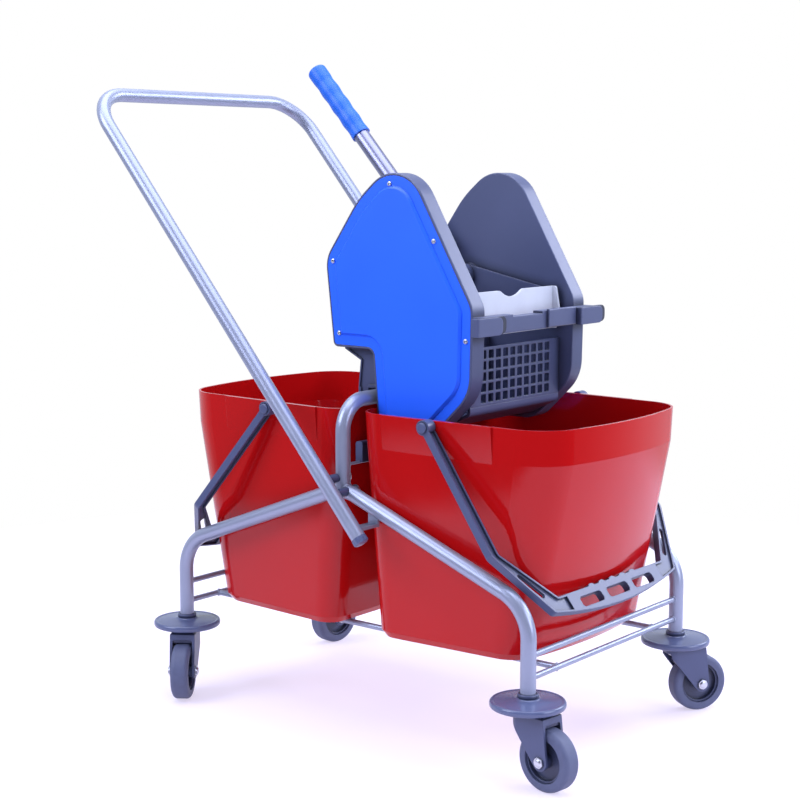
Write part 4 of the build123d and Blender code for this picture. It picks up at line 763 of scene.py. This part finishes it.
half = FORK_OUTSIDE_MM / 2
for corner in CORNERS:
    axle, ahead, across = wheel_axes(corner)
    nuts = bmesh.new()
    for way in (-1, 1):
        seat = axle + across * (way * half * MM)
        close_ends(nuts, add_turned(nuts, seat, across * way, NUT_PROFILE_MM, hexagon))
    close_ends(nuts, add_turned(nuts, axle, across, [(AXLE_R_MM, -half), (AXLE_R_MM, half)]))
    piece = add_piece(corner + "_axle_nuts", nuts, zinc_plate, corner + "_swivel_body")
    piece.data.set_sharp_from_angle(angle=SHARP_ANGLE)
    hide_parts(corner + "_axle_bolt")

# %% [markdown]
# ## Ribbed caps on the handle ends
# The open ends of the handle tube are closed with pushed-in caps. Small ribs run round the visible part so that
# fingers can pull it out again.

# %% Turn the ribbed caps
HANDLE_LEAN = math.radians(49.04)
CAP_R_MM = 10.5
CAP_PROFILE_MM = [
    (4.0, 0.0), (7.6, 0.1), (9.2, 0.5), (10.1, 1.3), (10.5, 2.4),
    (10.5, 7.6), (10.3, 8.4), (10.0, 9.0), (8.4, 9.0), (8.4, 30.0),
]
CAP_RIBS = 12
RIB_SHARE = 0.055
RIB_FROM_MM = 0.8
RIB_TO_MM = 8.6
RIB_RISE_MM = 0.8
RIB_FALL_MM = 0.6


def ribs(angle, height):
    """Ribs along the cap's side, faded out at both ends."""
    fade = max(0.0, min(1.0, (height - RIB_FROM_MM) / RIB_RISE_MM, (RIB_TO_MM - height) / RIB_FALL_MM))
    return 1.0 - RIB_SHARE * fade * (1.0 - math.cos(CAP_RIBS * angle))


low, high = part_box("handle_end_plugs")
inward = Vector((-math.cos(HANDLE_LEAN), 0, math.sin(HANDLE_LEAN)))
caps = bmesh.new()
for side_y in (low[1] + CAP_R_MM * MM, high[1] - CAP_R_MM * MM):
    tip_x = high[0] - CAP_R_MM * MM * math.sin(HANDLE_LEAN)
    tip_z = low[2] + CAP_R_MM * MM * math.cos(HANDLE_LEAN)
    close_ends(caps, add_turned(caps, (tip_x, side_y, tip_z), inward, CAP_PROFILE_MM, ribs))
end_caps = add_piece("handle_end_caps", caps, grey_gloss, "frame")
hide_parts("handle_end_plugs")

# %% [markdown]
# ## Painted shade in the clips
# The front rail ends in two clips, and the gap behind each finger is in shade. That shade is painted here as a
# strip in a near-black, dull finish with a faint grey drift.

# %% Clip gap shade
# Painted shade: a near-black dull finish stands in for the shade in the gap behind each clip finger.
gap_shade_finish, tree, shader, place = new_finish("painted_gap_shade_dark", {"IOR": 1.52})
tone_drift = add_node(tree, "ShaderNodeTexNoise", {"Scale": per_metre(12), "Detail": 4.0}, {"Vector": place})
colour = add_node(tree, "ShaderNodeValToRGB", {}, {"Fac": tone_drift.outputs["Fac"]})
colour.color_ramp.elements[0].color = linear("#1a1e2e")
colour.color_ramp.elements[1].color = linear("#23283a")
tree.links.new(colour.outputs["Color"], shader.inputs["Base Color"])
gloss = add_node(tree, "ShaderNodeMapRange", {"To Min": 0.55, "To Max": 0.7}, {"Value": tone_drift.outputs["Fac"]})
tree.links.new(gloss.outputs["Result"], shader.inputs["Roughness"])
print("made", gap_shade_finish.name)

# %% [markdown]
# ## Shade strips in the clips
# The painted shade in each clip is a thin flat strip on the clip's back, square at the closed end and rounded at
# the free end. A plane with a solidify modifier would do, but the outline is short enough to lay out point by point
# and close with a rim.

# %% Lay the clip shade strips
CLIP_DEPTH_MM = 8.6
CLIP_WEB_MM = 4.2
CLIP_L_MM = 72.0
STRIP_L_MM = 67.2
STRIP_T_MM = 0.9
STRIP_INSET_MM = 0.5
STRIP_H_MM = 22.0
STRIP_END_R_MM = 7.5
STRIP_ARC_STEPS = 10


def add_shade_strip(mesh, x, y, z):
    """A dark strip of painted shade on a clip's back, square at the closed end and rounded at the free end."""
    outline = [(0.0, 0.0)]
    for arc_z, start in ((STRIP_END_R_MM, -90), (STRIP_H_MM - STRIP_END_R_MM, 0)):
        for i in range(STRIP_ARC_STEPS + 1):
            a = math.radians(start + 90 * i / STRIP_ARC_STEPS)
            along = STRIP_L_MM - STRIP_END_R_MM + STRIP_END_R_MM * math.cos(a)
            outline.append((along, arc_z + STRIP_END_R_MM * math.sin(a)))
    outline.append((0.0, STRIP_H_MM))
    back = [mesh.verts.new((x, y + u * MM, z + v * MM)) for u, v in outline]
    front = [mesh.verts.new((x + STRIP_T_MM * MM, y + u * MM, z + v * MM)) for u, v in outline]
    mesh.faces.new(back)
    mesh.faces.new(front)
    for k in range(len(outline)):
        mesh.faces.new((back[k - 1], back[k], front[k], front[k - 1]))


low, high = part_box("front_rail")
shade_strips = bmesh.new()
for closed_y in (low[1], high[1] - CLIP_L_MM * MM):
    add_shade_strip(shade_strips, high[0] - CLIP_DEPTH_MM * MM, closed_y + CLIP_WEB_MM * MM, low[2] + STRIP_INSET_MM * MM)
# Painted shade: the dark strips sit where the clips' gaps are in shade.
clip_shade_strips = add_piece("clip_shade_strips", shade_strips, gap_shade_finish, "wringer_body")
clip_shade_strips.data.set_sharp_from_angle(angle=SHARP_ANGLE)

# %% [markdown]
# ## The floor
# A catalogue picture is made on a white sheet. Here it is opal acrylic, lit from below, so that the shadows stay
# pale and the wheels still stand on something. It is a disc whose rim fades out, because an edge would show as a
# line against the white behind it.

# %% Floor sheet
FLOOR_RADIUS = 1.45
FLOOR_FADE = 0.22
FLOOR_SEGMENTS = 96
floor_mesh = bpy.data.meshes.new("floor_sheet")
sheet = bmesh.new()
bmesh.ops.create_circle(sheet, cap_ends=True, segments=FLOOR_SEGMENTS, radius=FLOOR_RADIUS)
sheet.to_mesh(floor_mesh)
sheet.free()
floor = bpy.data.objects.new("floor_sheet", floor_mesh)
bpy.context.scene.collection.objects.link(floor)
opal_sheet, tree, shader, place = new_finish(
    "lit_opal_acrylic",
    {
        "Base Color": linear("#aca6b4"),
        "Roughness": 0.8,
        "Emission Color": linear("#f3ecff"),
        "Emission Strength": 0.62,
    },
)
floor_mesh.materials.append(opal_sheet)
from_middle = add_node(tree, "ShaderNodeVectorMath", {"operation": "LENGTH"}, {0: place})
fade = add_node(
    tree,
    "ShaderNodeMapRange",
    {"From Min": FLOOR_RADIUS - FLOOR_FADE, "From Max": FLOOR_RADIUS, "To Min": 1.0, "To Max": 0.0},
    {"Value": from_middle.outputs["Value"]},
)
tree.links.new(fade.outputs["Result"], shader.inputs["Alpha"])
print("floor sheet", 2 * FLOOR_RADIUS, "m across")

# %% [markdown]
# ## The surround
# Behind the trolley hangs a white backdrop, and behind the camera the room is dark. The gloss of the buckets shows
# both: the dark room in the middle of their walls and the backdrop along their far edges. A ramp along the direction
# of the backdrop does it. The camera itself sees plain white, as on a cut-out picture.

# %% Backdrop and dark room
BACKDROP = -direction(CAMERA_AZIMUTH, 0.0)
DARK_BELOW = -0.2
LIGHT_ABOVE = 0.45
world = bpy.data.worlds.new("white_studio")
bpy.context.scene.world = world
world.use_nodes = True
tree = world.node_tree
tree.nodes.clear()
way = add_node(tree, "ShaderNodeTexCoord", {}, {})
facing = add_node(
    tree,
    "ShaderNodeVectorMath",
    {"operation": "DOT_PRODUCT", 1: BACKDROP},
    {0: way.outputs["Generated"]},
)
shade = add_node(
    tree,
    "ShaderNodeMapRange",
    {"From Min": DARK_BELOW, "From Max": LIGHT_ABOVE},
    {"Value": facing.outputs["Value"]},
)
glow = add_node(tree, "ShaderNodeValToRGB", {}, {"Fac": shade.outputs["Result"]})
glow.color_ramp.elements[0].color = linear("#595d69")
glow.color_ramp.elements[1].color = linear("#e7efff")
room = add_node(tree, "ShaderNodeBackground", {}, {"Color": glow.outputs["Color"]})
white = add_node(tree, "ShaderNodeBackground", {"Color": linear("#ffffff")}, {})
ray = add_node(tree, "ShaderNodeLightPath", {}, {})
seen = add_node(
    tree,
    "ShaderNodeMixShader",
    {},
    {"Fac": ray.outputs["Is Camera Ray"], 1: room.outputs["Background"], 2: white.outputs["Background"]},
)
add_node(tree, "ShaderNodeOutputWorld", {}, {"Surface": seen.outputs["Shader"]})
print("surround made, backdrop towards", [round(v, 2) for v in BACKDROP])

# %% [markdown]
# ## Soft boxes
# Five large boxes in cool daylight shape the trolley. The key box stands left of the camera, the top box hangs over
# everything, the side box lights the front wall, and the back box draws light lines along the far edges. The front
# fill only lifts the shade: it is kept out of reflections, because a window shape in the red gloss would look wrong.

# %% Put up the soft boxes
DAYLIGHT = "#e4eaff"
AIM = (0.0, 0.0, 0.42)


def soft_box(name, place, width, height, power):
    """A rectangular area light that looks at the middle of the trolley; metres and watts."""
    data = bpy.data.lights.new(name, "AREA")
    data.shape = "RECTANGLE"
    data.size = width
    data.size_y = height
    data.energy = power
    data.color = linear(DAYLIGHT)[:3]
    box = bpy.data.objects.new(name, data)
    bpy.context.scene.collection.objects.link(box)
    box.location = place
    box.rotation_euler = (Vector(place) - Vector(AIM)).to_track_quat("Z", "Y").to_euler()
    print(name, power, "W")
    return box


soft_box("key_box", (-1.3, -2.3, 2.1), width=1.8, height=1.8, power=85.0)
soft_box("top_box", (0.0, 0.0, 2.6), width=2.8, height=2.4, power=95.0)
soft_box("side_box", (2.6, 0.3, 1.2), width=1.4, height=1.8, power=52.0)
soft_box("back_box", (1.3, 2.1, 1.6), width=1.8, height=1.2, power=60.0)
front_fill = soft_box("front_fill", (1.6, -2.5, 0.7), width=2.0, height=1.4, power=36.0)
front_fill.visible_glossy = False
